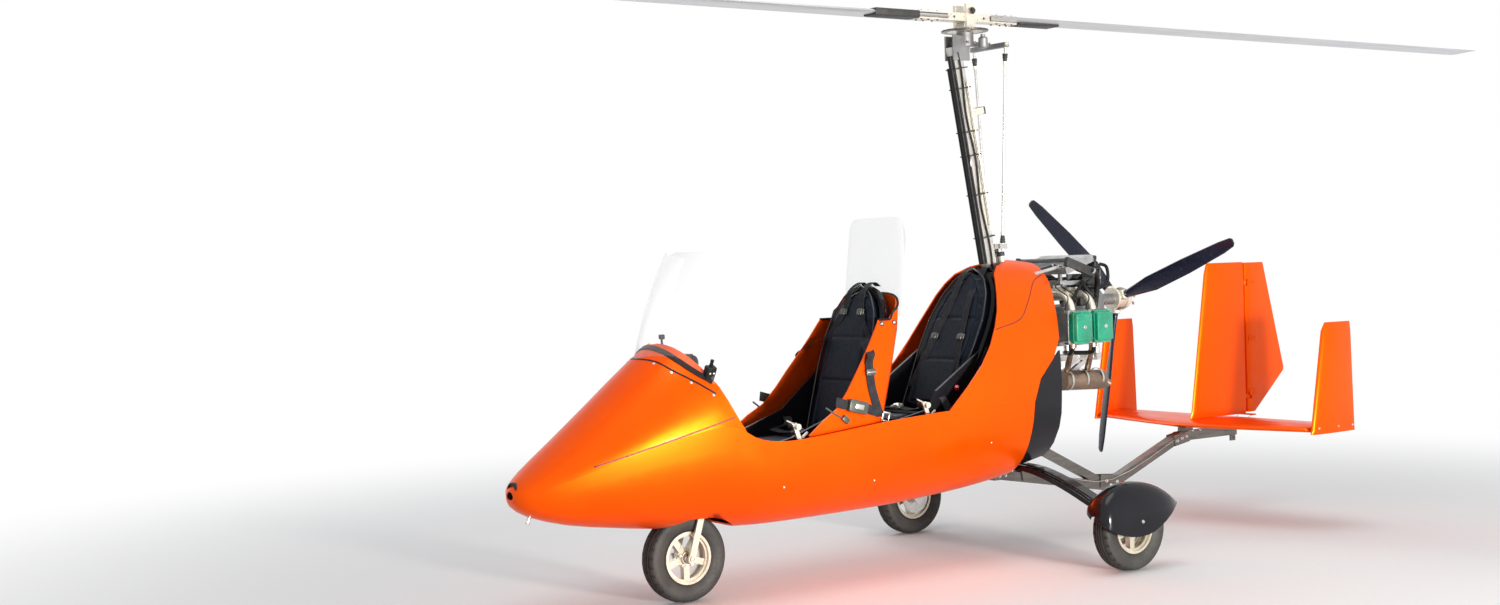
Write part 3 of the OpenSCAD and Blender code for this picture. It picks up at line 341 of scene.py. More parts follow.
def piece(name, shape, body, look, smooth=35, stands_for=()):
    """Takes a finished bmesh, closes it into an object on a body, with its finish."""
    mesh = bpy.data.meshes.new(name)
    shape.to_mesh(mesh)
    shape.free()
    for face in mesh.polygons:
        face.use_smooth = smooth > 0
    if 0 < smooth < 180:
        mesh.set_sharp_from_angle(angle=math.radians(smooth))
    made = bpy.data.objects.new(name, mesh)
    bpy.context.collection.objects.link(made)
    mesh.materials.append(finishes[look])
    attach(made, body)
    if stands_for:
        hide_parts(*stands_for)
    return made


def merged(node):
    """A copy of a CAD node's loose triangles, joined at their corners."""
    shape = bmesh.new()
    shape.from_mesh(nodes[node].data)
    bmesh.ops.remove_doubles(shape, verts=shape.verts, dist=2e-5)
    return shape


def polished(node, look, smooth=35):
    return piece(node + "_finished", merged(node), home[node], look, smooth, (node,))


def rounded(node, look, radius):
    """A CAD part with its sharp edges rounded, as a moulding's are."""
    shape = merged(node)
    bmesh.ops.dissolve_limit(shape, angle_limit=math.radians(2), verts=shape.verts, edges=shape.edges)
    sharp = [e for e in shape.edges if len(e.link_faces) == 2 and e.calc_face_angle(0) > math.radians(38)]
    bmesh.ops.bevel(shape, geom=sharp, offset=radius, segments=4, affect="EDGES", profile=0.5,
                    material=-1,
                    clamp_overlap=True)
    return piece(node + "_finished", shape, home[node], look, 40, (node,))


def refinish(node, look):
    slots_there = nodes[node].material_slots
    for place in slots_there:
        place.material = finishes[look]
    if not slots_there:
        nodes[node].data.materials.append(finishes[look])


for name in ("fuselage_pod", "nose_cowl", "rear_cowl", "seat_fairing"):
    polished(name, "orange_shell", 32)
for name, radius in (("stabilizer", 0.006), ("winglets", 0.009), ("fin", 0.012), ("rudder", 0.007)):
    rounded(name, "orange_shell", radius)
for name in ("side_panels", "mudguards", "landing_gear_bow", "coolant_tank"):
    polished(name, "black_panel", 32)
for name in ("windshield_front", "windshield_rear"):
    polished(name, "clear_screen", 40)
polished("propeller_blades", "propeller_black", 40)
for name, look in (("cockpit_floor", "black_panel"), ("instrument_panel", "black_panel"),
                   ("seat_shells", "seat_vinyl"), ("control_sticks", "black_grip"),
                   ("throttle_levers", "cream_alloy"), ("rudder_pedals", "bright_steel"),
                   ("engine_mount", "bright_steel"), ("main_axles", "bright_steel"),
                   ("control_rods", "bright_steel"), ("firewall", "bright_steel"),
                   ("keel_frame", "frame_steel"), ("mast", "mast_steel"), ("rim_left", "cast_rim"),
                   ("rim_right", "cast_rim"), ("nose_rim", "cast_rim"), ("rotor_hub", "cream_alloy"),
                   ("rotor_head", "engine_casting"), ("nose_fork", "cast_rim"),
                   ("propeller_hub", "cream_alloy"),
                   ("engine_block", "engine_casting"), ("cylinder_heads", "engine_casting"),
                   ("gearbox", "engine_casting"), ("intake_manifold", "cream_alloy"),
                   ("rocker_covers", "green_cover"), ("radiator", "radiator_core"),
                   ("exhaust", "exhaust_steel"),
                   ("rotor_blades", "blade_alloy"), ("tyre_left", "tyre_rubber"),
                   ("tyre_right", "tyre_rubber"),
                   ("nose_tyre", "tyre_rubber"), ("seat_cushions", "seat_cloth"),
                   ("back_cushions", "seat_cloth")):
    refinish(name, look)

# ---- shapes ----

def set_in(shape, made, turn):
    bmesh.ops.transform(shape, matrix=turn, verts=made)


def along(start, end):
    """Places a shape made on Z so that it starts at one point and runs towards another."""
    way = Vector(end) - Vector(start)
    return Matrix.Translation(start) @ way.to_track_quat("Z", "Y").to_matrix().to_4x4(), way.length


def block(shape, low, high, round_by=0.003, turn=None):
    low, high = Vector(low), Vector(high)
    made = bmesh.ops.create_cube(shape, size=1)["verts"]
    bmesh.ops.scale(shape, vec=high - low, verts=made)
    edges = list({e for v in made for e in v.link_edges})
    done = bmesh.ops.bevel(shape, geom=edges, offset=round_by, segments=2, affect="EDGES", profile=0.5,
                           material=-1)
    made = list({v for f in done["faces"] for v in f.verts} | {v for v in made if v.is_valid})
    set_in(shape, made, (turn or Matrix()) @ Matrix.Translation((low + high) / 2))
    return made


def side_block(shape, side, inner, outer, round_by):
    """A block on the left (side 1) or mirrored to the right (side -1)."""
    low, high = sorted((side * inner[0], side * outer[0]))
    block(shape, (low, *inner[1:]), (high, *outer[1:]), round_by)


def pin(shape, start, end, radius, thin=None, sides=20, round_by=0.0):
    """A round bar, or a cone where its far end is thinner."""
    place, length = along(start, end)
    made = bmesh.ops.create_cone(shape, cap_ends=True, segments=sides, radius1=radius,
                                 radius2=radius if thin is None else thin, depth=length)["verts"]
    set_in(shape, made, place @ Matrix.Translation((0, 0, length / 2)))
    if round_by:
        rims = [e for e in {e for v in made for e in v.link_edges}
                if any(len(f.verts) > 4 for f in e.link_faces)]
        bmesh.ops.bevel(shape, geom=rims, offset=round_by, segments=2, affect="EDGES", profile=0.5,
                        material=-1)


def bolt(shape, at, out, size=0.008):
    """A hexagon head on its washer, standing on a surface."""
    at, out = Vector(at), Vector(out).normalized()
    pin(shape, at, at + out * size * 0.2, size * 1.05, sides=18, round_by=size * 0.05)
    pin(shape, at + out * size * 0.2, at + out * size * 0.8, size * 0.72, sides=6, round_by=size * 0.08)


def turned(shape, outline, start, end, steps=48):
    """Spins an outline of (radius, height) points about the line from start to end."""
    place, _ = along(start, end)
    rail = [shape.verts.new((r, 0, h)) for r, h in outline]
    wires = [shape.edges.new((a, b)) for a, b in zip(rail, rail[1:])]
    bmesh.ops.spin(shape, geom=rail + wires, axis=(0, 0, 1), cent=(0, 0, 0), dvec=(0, 0, 0),
                   angle=math.tau, steps=steps, use_merge=True)
    made = {v for v in rail if v.is_valid}
    stack = list(made)
    while stack:
        for edge in stack.pop().link_edges:
            for other in edge.verts:
                if other not in made:
                    made.add(other)
                    stack.append(other)
    made = list(made)
    set_in(shape, made, place)
    bmesh.ops.remove_doubles(shape, verts=made, dist=1e-5)
    made = [v for v in made if v.is_valid]
    bmesh.ops.recalc_face_normals(shape, faces=list({f for v in made for f in v.link_faces}))
    return made


def smooth_path(points, steps=6):
    """A rounded way through a few points."""
    points = [Vector(p) for p in points]
    ends = [points[0] * 2 - points[1]] + points + [points[-1] * 2 - points[-2]]
    way = []
    for a, b, c, d in zip(ends, ends[1:], ends[2:], ends[3:]):
        for i in range(steps):
            t = i / steps
            way.append(0.5 * (2 * b + (c - a) * t + (2 * a - 5 * b + 4 * c - d) * t ** 2
                              + (3 * b - a - 3 * c + d) * t ** 3))
    return way + [points[-1]]


def tube(shape, points, radius, sides=10, steps=6, closed=False, rounded=True):
    """A round tube or cable along a way of points, with closed ends."""
    way = smooth_path(points, steps) if rounded else [Vector(p) for p in points]
    rings = []
    last = len(way) - 1
    side = None
    for i, at in enumerate(way):
        ahead = (way[0] if closed and i == last else way[min(i + 1, last)]) - way[max(i - 1, 0)]
        ahead.normalize()
        if side is None:
            side = ahead.orthogonal()
        side = (side - ahead * side.dot(ahead)).normalized()
        up = ahead.cross(side)
        ring = []
        for k in range(sides):
            a = math.tau * k / sides
            ring.append(shape.verts.new(at + radius * (side * math.cos(a) + up * math.sin(a))))
        edges = [shape.edges.new((ring[k - 1], ring[k])) for k in range(sides)]
        rings.append((ring, edges))
    for (_, low), (_, high) in zip(rings, rings[1:]):
        bmesh.ops.bridge_loops(shape, edges=low + high)
    if closed:
        bmesh.ops.bridge_loops(shape, edges=rings[-1][1] + rings[0][1])
    else:
        bmesh.ops.contextual_create(shape, geom=rings[0][1])
        bmesh.ops.contextual_create(shape, geom=rings[-1][1])
    made = {v for ring, _ in rings for v in ring}
    bmesh.ops.recalc_face_normals(shape, faces=list({f for v in made for f in v.link_faces}))


def ribbon(shape, points, sides, width, thick, steps=6, rounded=True):
    """A flat strip along a way; sides gives the direction of its width at each point."""
    way = smooth_path(points, steps) if rounded else [Vector(p) for p in points]
    widths = smooth_path(sides, steps) if rounded else [Vector(p) for p in sides]
    rows = []
    for at, across in zip(way, widths):
        across = across.normalized() * width / 2
        rows.append((shape.verts.new(at - across), shape.verts.new(at + across)))
    faces = [shape.faces.new((a[0], a[1], b[1], b[0])) for a, b in zip(rows, rows[1:])]
    bmesh.ops.recalc_face_normals(shape, faces=faces)
    bmesh.ops.solidify(shape, geom=faces, thickness=thick)


def hit(tree, start, way):
    """Where a line first meets a surface, and the surface's direction there."""
    spot, normal, _, _ = tree.ray_cast(Vector(start), Vector(way).normalized())
    return spot, normal


# ---- seats, cushions and harness ----

# y and z of the back's foot, lean, y and z of the pan, half width, height of the back
SEATS = ((-0.96, 0.69, math.radians(18), -1.52, 0.64, 0.228, 0.78),
         (-0.35, 0.76, math.radians(27), -0.70, 0.715, 0.240, 0.82))
BACK = ((0, 0.86), (0.2, 0.93), (0.45, 1.0), (0.65, 0.98), (0.82, 0.80), (0.93, 0.52), (0.985, 0.25),
        (1, 0))


def on_back(seat, x, up, out):
    """A point on a seat's back: up its height, and out in front of its cushion's face."""
    y, z, lean = seat[:3]
    return Vector((x, y + up * math.sin(lean) - out * math.cos(lean),
                   z + up * math.cos(lean) + out * math.sin(lean)))


def back_half(share):
    for (a, wide), (b, narrow) in zip(BACK, BACK[1:]):
        if share <= b:
            return wide + (narrow - wide) * (share - a) / (b - a)
    return 0


def back_edge(seat, inset, out, low=0.0):
    """The outline of a seat's back from its left foot over the top to its right foot."""
    half, tall = seat[5] - inset, seat[6] - inset
    shares = [low + (1 - low) * i / 24 for i in range(25)]
    left = [on_back(seat, half * back_half(s), tall * s + inset / 2, out) for s in shares]
    return left + [Vector((-p.x, p.y, p.z)) for p in reversed(left[:-1])]


def local_back(seat, point):
    y, z, lean = seat[:3]
    dy, dz = point.y - y, point.z - z
    return dy * math.sin(lean) + dz * math.cos(lean), dz * math.sin(lean) - dy * math.cos(lean)


def groove(distance, width):
    return math.exp(-(distance / width) ** 2)


def back_distance(seat, point, inset):
    """How far a point lies inside the seam that runs round a back cushion, or outside if below zero."""
    up, _ = local_back(seat, point)
    tall = seat[6] - 0.028 - inset
    share = min(max((up - inset / 2 - 0.014) / tall, 0), 1)
    side = (seat[5] - 0.028) * back_half(share) - inset - abs(point.x)
    return min(side, up - inset, tall - up + inset * 0.6)


def swell(name, node, shrink, cap):
    """Fills a plain pad with air until its cover is tight, and keeps it near its block."""
    shape = merged(node)
    mesh = bpy.data.meshes.new(name)
    shape.to_mesh(mesh)
    shape.free()
    made = bpy.data.objects.new(name, mesh)
    bpy.context.collection.objects.link(made)
    remesh = made.modifiers.new("even", "REMESH")
    remesh.mode = "VOXEL"
    remesh.voxel_size = 0.008
    settle = bpy.context.evaluated_depsgraph_get()
    even = bpy.data.meshes.new_from_object(made.evaluated_get(settle))
    made.modifiers.clear()
    made.data = even
    shape = bmesh.new()
    shape.from_mesh(even)
    bmesh.ops.smooth_vert(shape, verts=shape.verts, factor=0.5, use_axis_x=True, use_axis_y=True,
                          use_axis_z=True)
    shape.normal_update()
    for v in shape.verts:
        v.co -= v.normal * shrink
    shape.to_mesh(even)
    shape.free()
    rest = [v.co.copy() for v in even.vertices]
    cloth = made.modifiers.new("cover", "CLOTH")
    cloth.settings.quality = 4
    cloth.settings.mass = 0.3
    cloth.settings.use_pressure = True
    cloth.settings.uniform_pressure_force = 4
    cloth.settings.effector_weights.gravity = 0
    cloth.point_cache.frame_start = 1
    cloth.point_cache.frame_end = 20
    for moment in range(1, 21):
        bpy.context.scene.frame_set(moment)
    settle = bpy.context.evaluated_depsgraph_get()
    full = bpy.data.meshes.new_from_object(made.evaluated_get(settle))
    made.modifiers.clear()
    bpy.context.scene.frame_set(1)
    for v, start in zip(full.vertices, rest):
        step = v.co - start
        if step.length > cap:
            v.co = start + step * cap / step.length
    made.data = full
    return made


def dress(made, cushions, seam, inside):
    """Presses the seams in, gives panel and bolster their own covers, and rounds the mesh."""
    shape = bmesh.new()
    shape.from_mesh(made.data)
    shape.normal_update()
    moves = [(v, v.normal * -seam(v.co)) for v in shape.verts]
    for v, move in moves:
        v.co += move
    for face in shape.faces:
        face.material_index = 0 if inside(face.calc_center_median()) else 1
        face.smooth = True
    shape.to_mesh(made.data)
    shape.free()
    made.data.materials.clear()
    made.data.materials.append(finishes["seat_cloth"])
    made.data.materials.append(finishes["seat_vinyl"])
    finer = made.modifiers.new("round", "SUBSURF")
    finer.levels = 1
    finer.render_levels = 1
    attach(made, "airframe")
    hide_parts(cushions)


def back_seam(point):
    seat = min(SEATS, key=lambda s: abs(local_back(s, point)[1] + 0.02) + abs(point.y - s[0]) * 0.2)
    up, _ = local_back(seat, point)
    inner = back_distance(seat, point, 0.058)
    depth = 0.009 * groove(inner, 0.007)
    for share in (0.36, 0.64):
        depth += 0.006 * groove(up - share * seat[6], 0.007) * (1 if inner > 0 else 0)
    return depth


def back_panel(point):
    seat = min(SEATS, key=lambda s: abs(local_back(s, point)[1] + 0.02) + abs(point.y - s[0]) * 0.2)
    return back_distance(seat, point, 0.058) > 0


def pan_distance(point):
    seat = min(SEATS, key=lambda s: abs(point.y - (s[0] + s[3]) / 2))
    side = seat[5] - 0.02 - 0.055 - abs(point.x)
    return min(side, point.y - seat[3] - 0.01 - 0.07)


def pan_seam(point):
    return 0.009 * groove(pan_distance(point), 0.007)


def cushions():
    pad = swell("back_pads", "back_cushions", 0.006, 0.016)
    dress(pad, "back_cushions", back_seam, back_panel)
    seat = swell("seat_pads", "seat_cushions", 0.006, 0.016)
    dress(seat, "seat_cushions", pan_seam, lambda p: pan_distance(p) > 0)
    trim = bmesh.new()
    for s in SEATS:
        tube(trim, back_edge(s, 0.003, -0.052), 0.006, 8, 1, rounded=False)
        tube(trim, back_edge(s, 0.034, 0.002, 0.02), 0.0045, 8, 1, rounded=False)
    piece("seat_piping", trim, "airframe", "piping", 60)


def lie_on(tree, seat, x, up, stand=0.004):
    usual, inward = on_back(seat, x, up, 0.012), on_back(seat, x, up, 0) - on_back(seat, x, up, 1)
    spot, _ = hit(tree, on_back(seat, x, up, 0.3), inward)
    if not spot or (spot - usual).length > 0.05:
        spot = usual
    return spot - inward * stand


def harness():
    pad = BVHTree.FromObject(bpy.data.objects["back_pads"], bpy.context.evaluated_depsgraph_get())
    belts, metal, plastic = blanks(3)
    for s in SEATS:
        half, tall = s[5], s[6]
        for side in (-1, 1):
            # Shoulder belt: over the top of the back, down its face and out to the hip
            run = [(0.05, 0.93), (0.062, 0.8), (0.085, 0.6), (0.115, 0.42), (0.145, 0.27), (0.165, 0.17)]
            if s is SEATS[0]:
                run = [(0.05, 0.93), (0.062, 0.82), (0.095, 0.74), (0.131, 0.68), (0.17, 0.62)]
            way = [on_back(s, side * 0.045, tall * 0.995 + 0.004, -0.072),
                   on_back(s, side * 0.045, tall * 1.0 + 0.006, -0.03)]
            way += [lie_on(pad, s, side * x, tall * u) for x, u in run]
            ribbon(belts, way, [(1, 0, 0.0)] * 4 + [(1, 0, 0.25 * side)] * (len(way) - 4), 0.044, 0.0022)
            at = lie_on(pad, s, side * (0.1 if s is SEATS[1] else 0.066),
                        tall * (0.51 if s is SEATS[1] else 0.8), 0.006)
            turn = Matrix.Translation(at) @ Matrix.Rotation(math.pi / 2 - s[2], 4, "X")
            block(plastic, (-0.027, -0.014, -0.0025), (0.027, 0.014, 0.0025), 0.002, turn)
            block(plastic, (-0.012, -0.017, -0.006), (0.012, 0.017, 0.006), 0.003, turn)
            # Lap belt: from the hip, over the bolster and down beside the seat
            hip = Vector((side * (half - 0.05), s[0] - 0.10, s[4] + 0.115))
            end = [hip + Vector((0, -0.09, -0.022)), hip, hip + Vector((side * 0.045, 0.02, 0.03)),
                   Vector((side * (half + 0.02), s[0] - 0.055, s[4] + 0.075)),
                   Vector((side * (half + 0.022), s[0] - 0.04, s[4] - 0.01))]
            ribbon(belts, end, [(0.1, 1, 0)] * 5, 0.044, 0.0022)
        hub = Vector((0.03, s[0] - 0.19, s[4] + 0.085))
        turned(plastic, [(0, 0), (0.03, 0), (0.034, 0.004), (0.034, 0.014), (0.03, 0.018), (0, 0.018)],
               hub,
               hub + Vector((0, -0.2, 1)), 32)
        turned(metal, [(0, 0.018), (0.016, 0.018), (0.016, 0.023), (0.012, 0.025), (0, 0.025)], hub,
               hub + Vector((0, -0.2, 1)), 24)
        for side in (-1, 1):
            low = Vector((side * (half - 0.05), s[0] - 0.19, s[4] + 0.093))
            ribbon(belts,
                   [hub + Vector((side * 0.03, 0, 0.006)),
                    (hub + low) / 2 + Vector((side * 0.02, 0, -0.004)),
                    low], [(0, 1, 0.1)] * 3, 0.044, 0.0022)
    piece("harness_belts", belts, "airframe", "webbing", 40)
    piece("harness_metal", metal, "airframe", "bright_steel", 30)
    piece("harness_buckles", plastic, "airframe", "belt_buckle", 30)


def tyres():
    for node in ("tyre_left", "tyre_right", "nose_tyre"):
        low, high = (Vector(c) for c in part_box(node))
        centre = (low + high) / 2
        wide = (high.x - low.x) / 2
        tall = (high.z - low.z) / 2
        half = [(0.121, 0.62), (0.126, 0.74), (0.140, 0.88), (0.157, 0.97), (0.171, 0.998),
                (0.184, 0.975),
                (0.1935, 0.90), (0.1985, 0.80), (0.2015, 0.66), (0.2030, 0.50), (0.1988, 0.48),
                (0.1988, 0.40),
                (0.2040, 0.38), (0.2050, 0.20), (0.2010, 0.18), (0.2010, 0.06), (0.2055, 0.04)]
        scale = tall / 0.2055
        outline = [(r * scale, -w * wide) for r, w in half]
        outline += [(r * scale, w * wide) for r, w in reversed(half)]
        shape = bmesh.new()
        turned(shape, outline, centre, centre + Vector((1, 0, 0)), 90)
        lugs = []
        for face in shape.faces:
            spot = face.calc_center_median() - centre
            angle = math.atan2(spot.z, spot.y)
            step = round(angle / math.tau * 90)
            far = math.hypot(spot.y, spot.z) / scale
            if 0.192 < far < 0.2026 and abs(spot.x) > wide * 0.55 and step % 3 == (1 if spot.x > 0 else 0):
                lugs.append(face)
        bmesh.ops.inset_individual(shape, faces=lugs, thickness=0.0012, depth=-0.0035)
        rim = [e for e in shape.edges if e.is_boundary]
        bmesh.ops.bridge_loops(shape, edges=rim)
        bmesh.ops.recalc_face_normals(shape, faces=shape.faces)
        piece(node + "_treaded", shape, home[node], "tyre_rubber", 35, (node,))


tyres()
cushions()
harness()

# ---- pod: bands, seams, screws, instruments ----

def settled(tree, points, lift):
    """Each point moved onto the nearest skin, and lifted off it; with the skin's direction there."""
    spots = []
    for point in points:
        point = Vector(point)
        away = Vector((point.x, 0, point.z - SHELL_AXIS_Z)).normalized()
        spot, normal, _, _ = tree.find_nearest(point + away * 0.012)
        spots.append((spot + normal * lift, normal))
    return spots


def band(shape, tree, points, width, thick, lift=0.0005, steps=6):
    """A strip that follows a skin along a way of points."""
    spots = settled(tree, smooth_path(points, steps), lift)
    across = []
    for i, (_, normal) in enumerate(spots):
        ahead = spots[min(i + 1, len(spots) - 1)][0] - spots[max(i - 1, 0)][0]
        across.append(normal.cross(ahead).normalized())
    ribbon(shape, [s for s, _ in spots], across, width, thick, rounded=False)


def both_sides(points):
    """A way that starts on the left, and its mirror image joined at the middle."""
    return points + [(-x, y, z) for x, y, z in reversed(points[:-1])]


def mirrored(points):
    return [points, [(-x, y, z) for x, y, z in points]]


def skin_tree(*names):
    shape = bmesh.new()
    for name in names:
        shape.from_mesh(nodes[name].data)
    tree = BVHTree.FromBMesh(shape)
    shape.free()
    return tree


def pod_trim():
    skin = skin_tree("fuselage_pod", "nose_cowl", "rear_cowl")
    rubber, seams, screws, metal = blanks(4)
    sill = [(0.287, -1.797, 1.015), (0.24, -1.862, 1.062), (0.17, -1.912, 1.116), (0.102, -1.939, 1.152),
            (0, -1.955, 1.17)]
    band(rubber, skin, both_sides(sill), 0.024, 0.006, 0.006)
    # Thin black strip along the foot of the front screen: painted shadow of the screen's lower edge, built
    # in the black rubber finish; the screws follow its line.
    screen_foot_shadow = [(0.307, -1.792, 0.963), (0.259, -1.879, 1.024), (0.198, -1.944, 1.07), (0.118, -1.986, 1.11),
            (0, -2.022, 1.122)]
    band(rubber, skin, both_sides(screen_foot_shadow), 0.009, 0.003, 0.001)
    for x, y, z in screen_foot_shadow[:4]:
        for side in (-1, 1):
            (spot, normal), = settled(skin, [(side * x, y - 0.012, z - 0.004)], 0)
            turned(screws, [(0, 0.003), (0.004, 0.003), (0.0065, 0.0012), (0.0065, 0), (0, 0)], spot,
                   spot + normal, 16)
    nose = [(0.076, -2.603, 0.643), (0.16, -2.45, 0.672), (0.247, -2.256, 0.72), (0.31, -1.97, 0.792),
            (0.336, -1.714, 0.856)]
    cowl = [(0.158, 0.343, 1.428), (0.196, 0.249, 1.394), (0.26, 0.142, 1.286), (0.292, 0.055, 1.209),
            (0.307, -0.122, 1.167)]
    for way in mirrored(nose):
        band(seams, skin, way, 0.0065, 0.0016, 0.0008)
    for way in mirrored(cowl):
        band(seams, skin, way, 0.006, 0.0016, 0.0008)
    tip = Vector((0.03, -2.585, 0.487))
    turned(metal, [(0, 0), (0.009, 0), (0.0095, 0.002), (0.0095, 0.026), (0.011, 0.028), (0.011, 0.04),
                   (0.0075, 0.042), (0.0055, 0.036), (0, 0.036)], tip, tip + Vector((0.1, -0.55, -1)), 28)
    # Edging of the fairing behind the front seat, with its two bolts a side
    edge = []
    for i in range(49):
        v = 1 - i / 24
        turn = math.radians(90 * min(abs(v) / 0.45, 1))
        back = max((abs(v) - 0.45) / 0.55, 0)
        y = (-0.712 + 0.06 * max(math.cos(turn), 0) ** 0.5) * (1 - back) - 0.805 * back
        x = math.copysign(0.232 * math.sin(turn) ** 0.5, v) if v else 0
        edge.append((x, y, 1.25 + 0.125 * (1 - min(abs(v) / 0.55, 1) ** 2)))
    tube(rubber, edge, 0.0065, 8, rounded=False)
    fairing = skin_tree("seat_fairing")
    for y, z in ((-0.79, 1.232), (-0.715, 1.236)):
        for side in (-1, 1):
            spot, normal = hit(fairing, (side, y, z), (-side, 0, 0))
            if spot:
                pin(rubber, spot, spot + normal * 0.002, 0.012, sides=20)
                bolt(screws, spot + normal * 0.002, normal, 0.007)
    for side in (-1, 1):
        for y, z in ((-0.2, 0.62), (0.08, 0.50), (-0.92, 0.50), (-1.45, 0.52)):
            spot, normal = hit(skin, (side, y, z), (-side, 0, 0))
            if spot:
                turned(screws, [(0, 0.002), (0.003, 0.002), (0.005, 0.0008), (0.005, 0), (0, 0)], spot,
                       spot + normal, 14)
    # Landing lamp in the nose, behind a dark glass
    lamp_glass = bmesh.new()
    turned(rubber,
           [(0.034, -0.02), (0.043, -0.02), (0.046, 0.0), (0.043, 0.006), (0.037, 0.006), (0.034, 0.0),
            (0.034, -0.02)], (0, -2.648, 0.585), (0, -4, 0.45), 40)
    turned(lamp_glass,
           [(0, 0.006), (0.014, 0.005), (0.027, 0.0), (0.036, -0.006), (0.036, -0.012), (0, -0.012)],
           (0, -2.648, 0.585), (0, -4, 0.45), 40)
    piece("nose_lamp", lamp_glass, "airframe", "piping", 60)
    # This piece holds the real rubber trim and the painted shadow strip at the front screen's foot.
    piece("pod_edging_and_shadow_strip", rubber, "airframe", "black_rubber", 40)
    piece("pod_seams", seams, "airframe", "seam_shadow", 40)
    piece("pod_screws", screws, "airframe", "bright_steel", 30)
    piece("pitot_tube", metal, "airframe", "bright_steel", 35)


def instruments():
    panel = skin_tree("instrument_panel")
    bezels, faces, marks, knobs = blanks(4)
    dials = [(x, 1.096, 0.034) for x in (-0.17, -0.085, 0.0, 0.085, 0.17)]
    dials += [(x, 0.985, 0.042) for x in (-0.2, -0.1, 0.1, 0.2)]
    for x, z, r in dials:
        spot, _ = hit(panel, (x, -1.3, z), (0, -1, 0))
        if not spot:
            continue
        away = spot + Vector((0, 1, 0))
        turned(bezels,
               [(r * 0.86, 0), (r, 0), (r * 1.05, 0.003), (r, 0.007), (r * 0.88, 0.007),
                (r * 0.86, 0.003)],
               spot, away, 40)
        turned(faces, [(0, 0.002), (r * 0.87, 0.002), (r * 0.87, 0.0), (0, 0.0)], spot, away, 40)
        for k in range(11):
            angle = math.radians(225 - 27 * k)
            inner, outer = (0.62 if k % 5 else 0.55) * r, 0.76 * r
            way = Vector((math.cos(angle), 0, math.sin(angle)))
            pin(marks, spot + way * inner + Vector((0, 0.0026, 0)),
                spot + way * outer + Vector((0, 0.0026, 0)),
                0.0007, sides=4)
        angle = math.radians(200 - 300 * abs(x) - 200 * (z - 0.9))
        way = Vector((math.cos(angle), 0, math.sin(angle)))
        pin(marks, spot + Vector((0, 0.0035, 0)) - way * r * 0.15,
            spot + Vector((0, 0.0035, 0)) + way * r * 0.66,
            0.0012, 0.0005, sides=6)
    for i in range(7):
        x = -0.15 + 0.05 * i
        spot, _ = hit(panel, (x, -1.3, 0.924), (0, -1, 0))
        if spot:
            turned(bezels, [(0, 0), (0.007, 0), (0.007, 0.004), (0.005, 0.005), (0, 0.005)], spot,
                   spot + Vector((0, 1, 0)), 16)
            pin(marks, spot + Vector((0, 0.004, 0)), spot + Vector((0, 0.02, 0.006 if i % 2 else -0.006)),
                0.002,
                0.003, 10)
    spot, _ = hit(panel, (0, -1.3, 0.985), (0, -1, 0))
    if spot:
        block(bezels, spot + Vector((-0.042, -0.002, -0.03)), spot + Vector((0.042, 0.012, 0.03)), 0.004)
        block(faces, spot + Vector((-0.034, 0.010, -0.01)), spot + Vector((0.034, 0.0135, 0.022)), 0.001)
        for x in (-0.028, 0, 0.028):
            turned(knobs, [(0, 0), (0.007, 0), (0.006, 0.01), (0, 0.011)],
                   spot + Vector((x, 0.011, -0.02)),
                   spot + Vector((x, 1, -0.02)), 16)
    # A small sight on the crown of the cowl, and a switch box at its left edge
    crown = Vector((0.05, -1.905, 1.182))
    pin(knobs, crown, crown + Vector((-0.003, 0, 0.034)), 0.006, 0.0045, 16)
    block(knobs, crown + Vector((-0.015, -0.01, 0.028)), crown + Vector((0.009, 0.012, 0.05)), 0.004)
    box = Matrix.Translation((0.272, -1.802, 1.048)) @ Matrix.Rotation(math.radians(28), 4, "Y")
    block(knobs, (-0.02, -0.024, -0.05), (0.016, 0.024, 0.046), 0.006, box)
    turned(knobs, [(0, 0), (0.009, 0), (0.0095, 0.004), (0.0075, 0.02), (0.009, 0.034), (0, 0.037)],
           box @ Vector((-0.004, 0, 0.042)), box @ Vector((-0.02, 0, 0.5)), 20)
    for k in (-1, 1):
        pin(marks, box @ Vector((0.014, 0.01 * k, 0.02)), box @ Vector((0.0185, 0.01 * k, 0.02)), 0.004,
            sides=14)
    piece("dial_bezels", bezels, "airframe", "black_grip", 30)
    piece("dial_faces", faces, "airframe", "dial_face", 30)
    piece("dial_marks", marks, "airframe", "dial_mark", 30)
    piece("panel_knobs", knobs, "airframe", "black_rubber", 35)


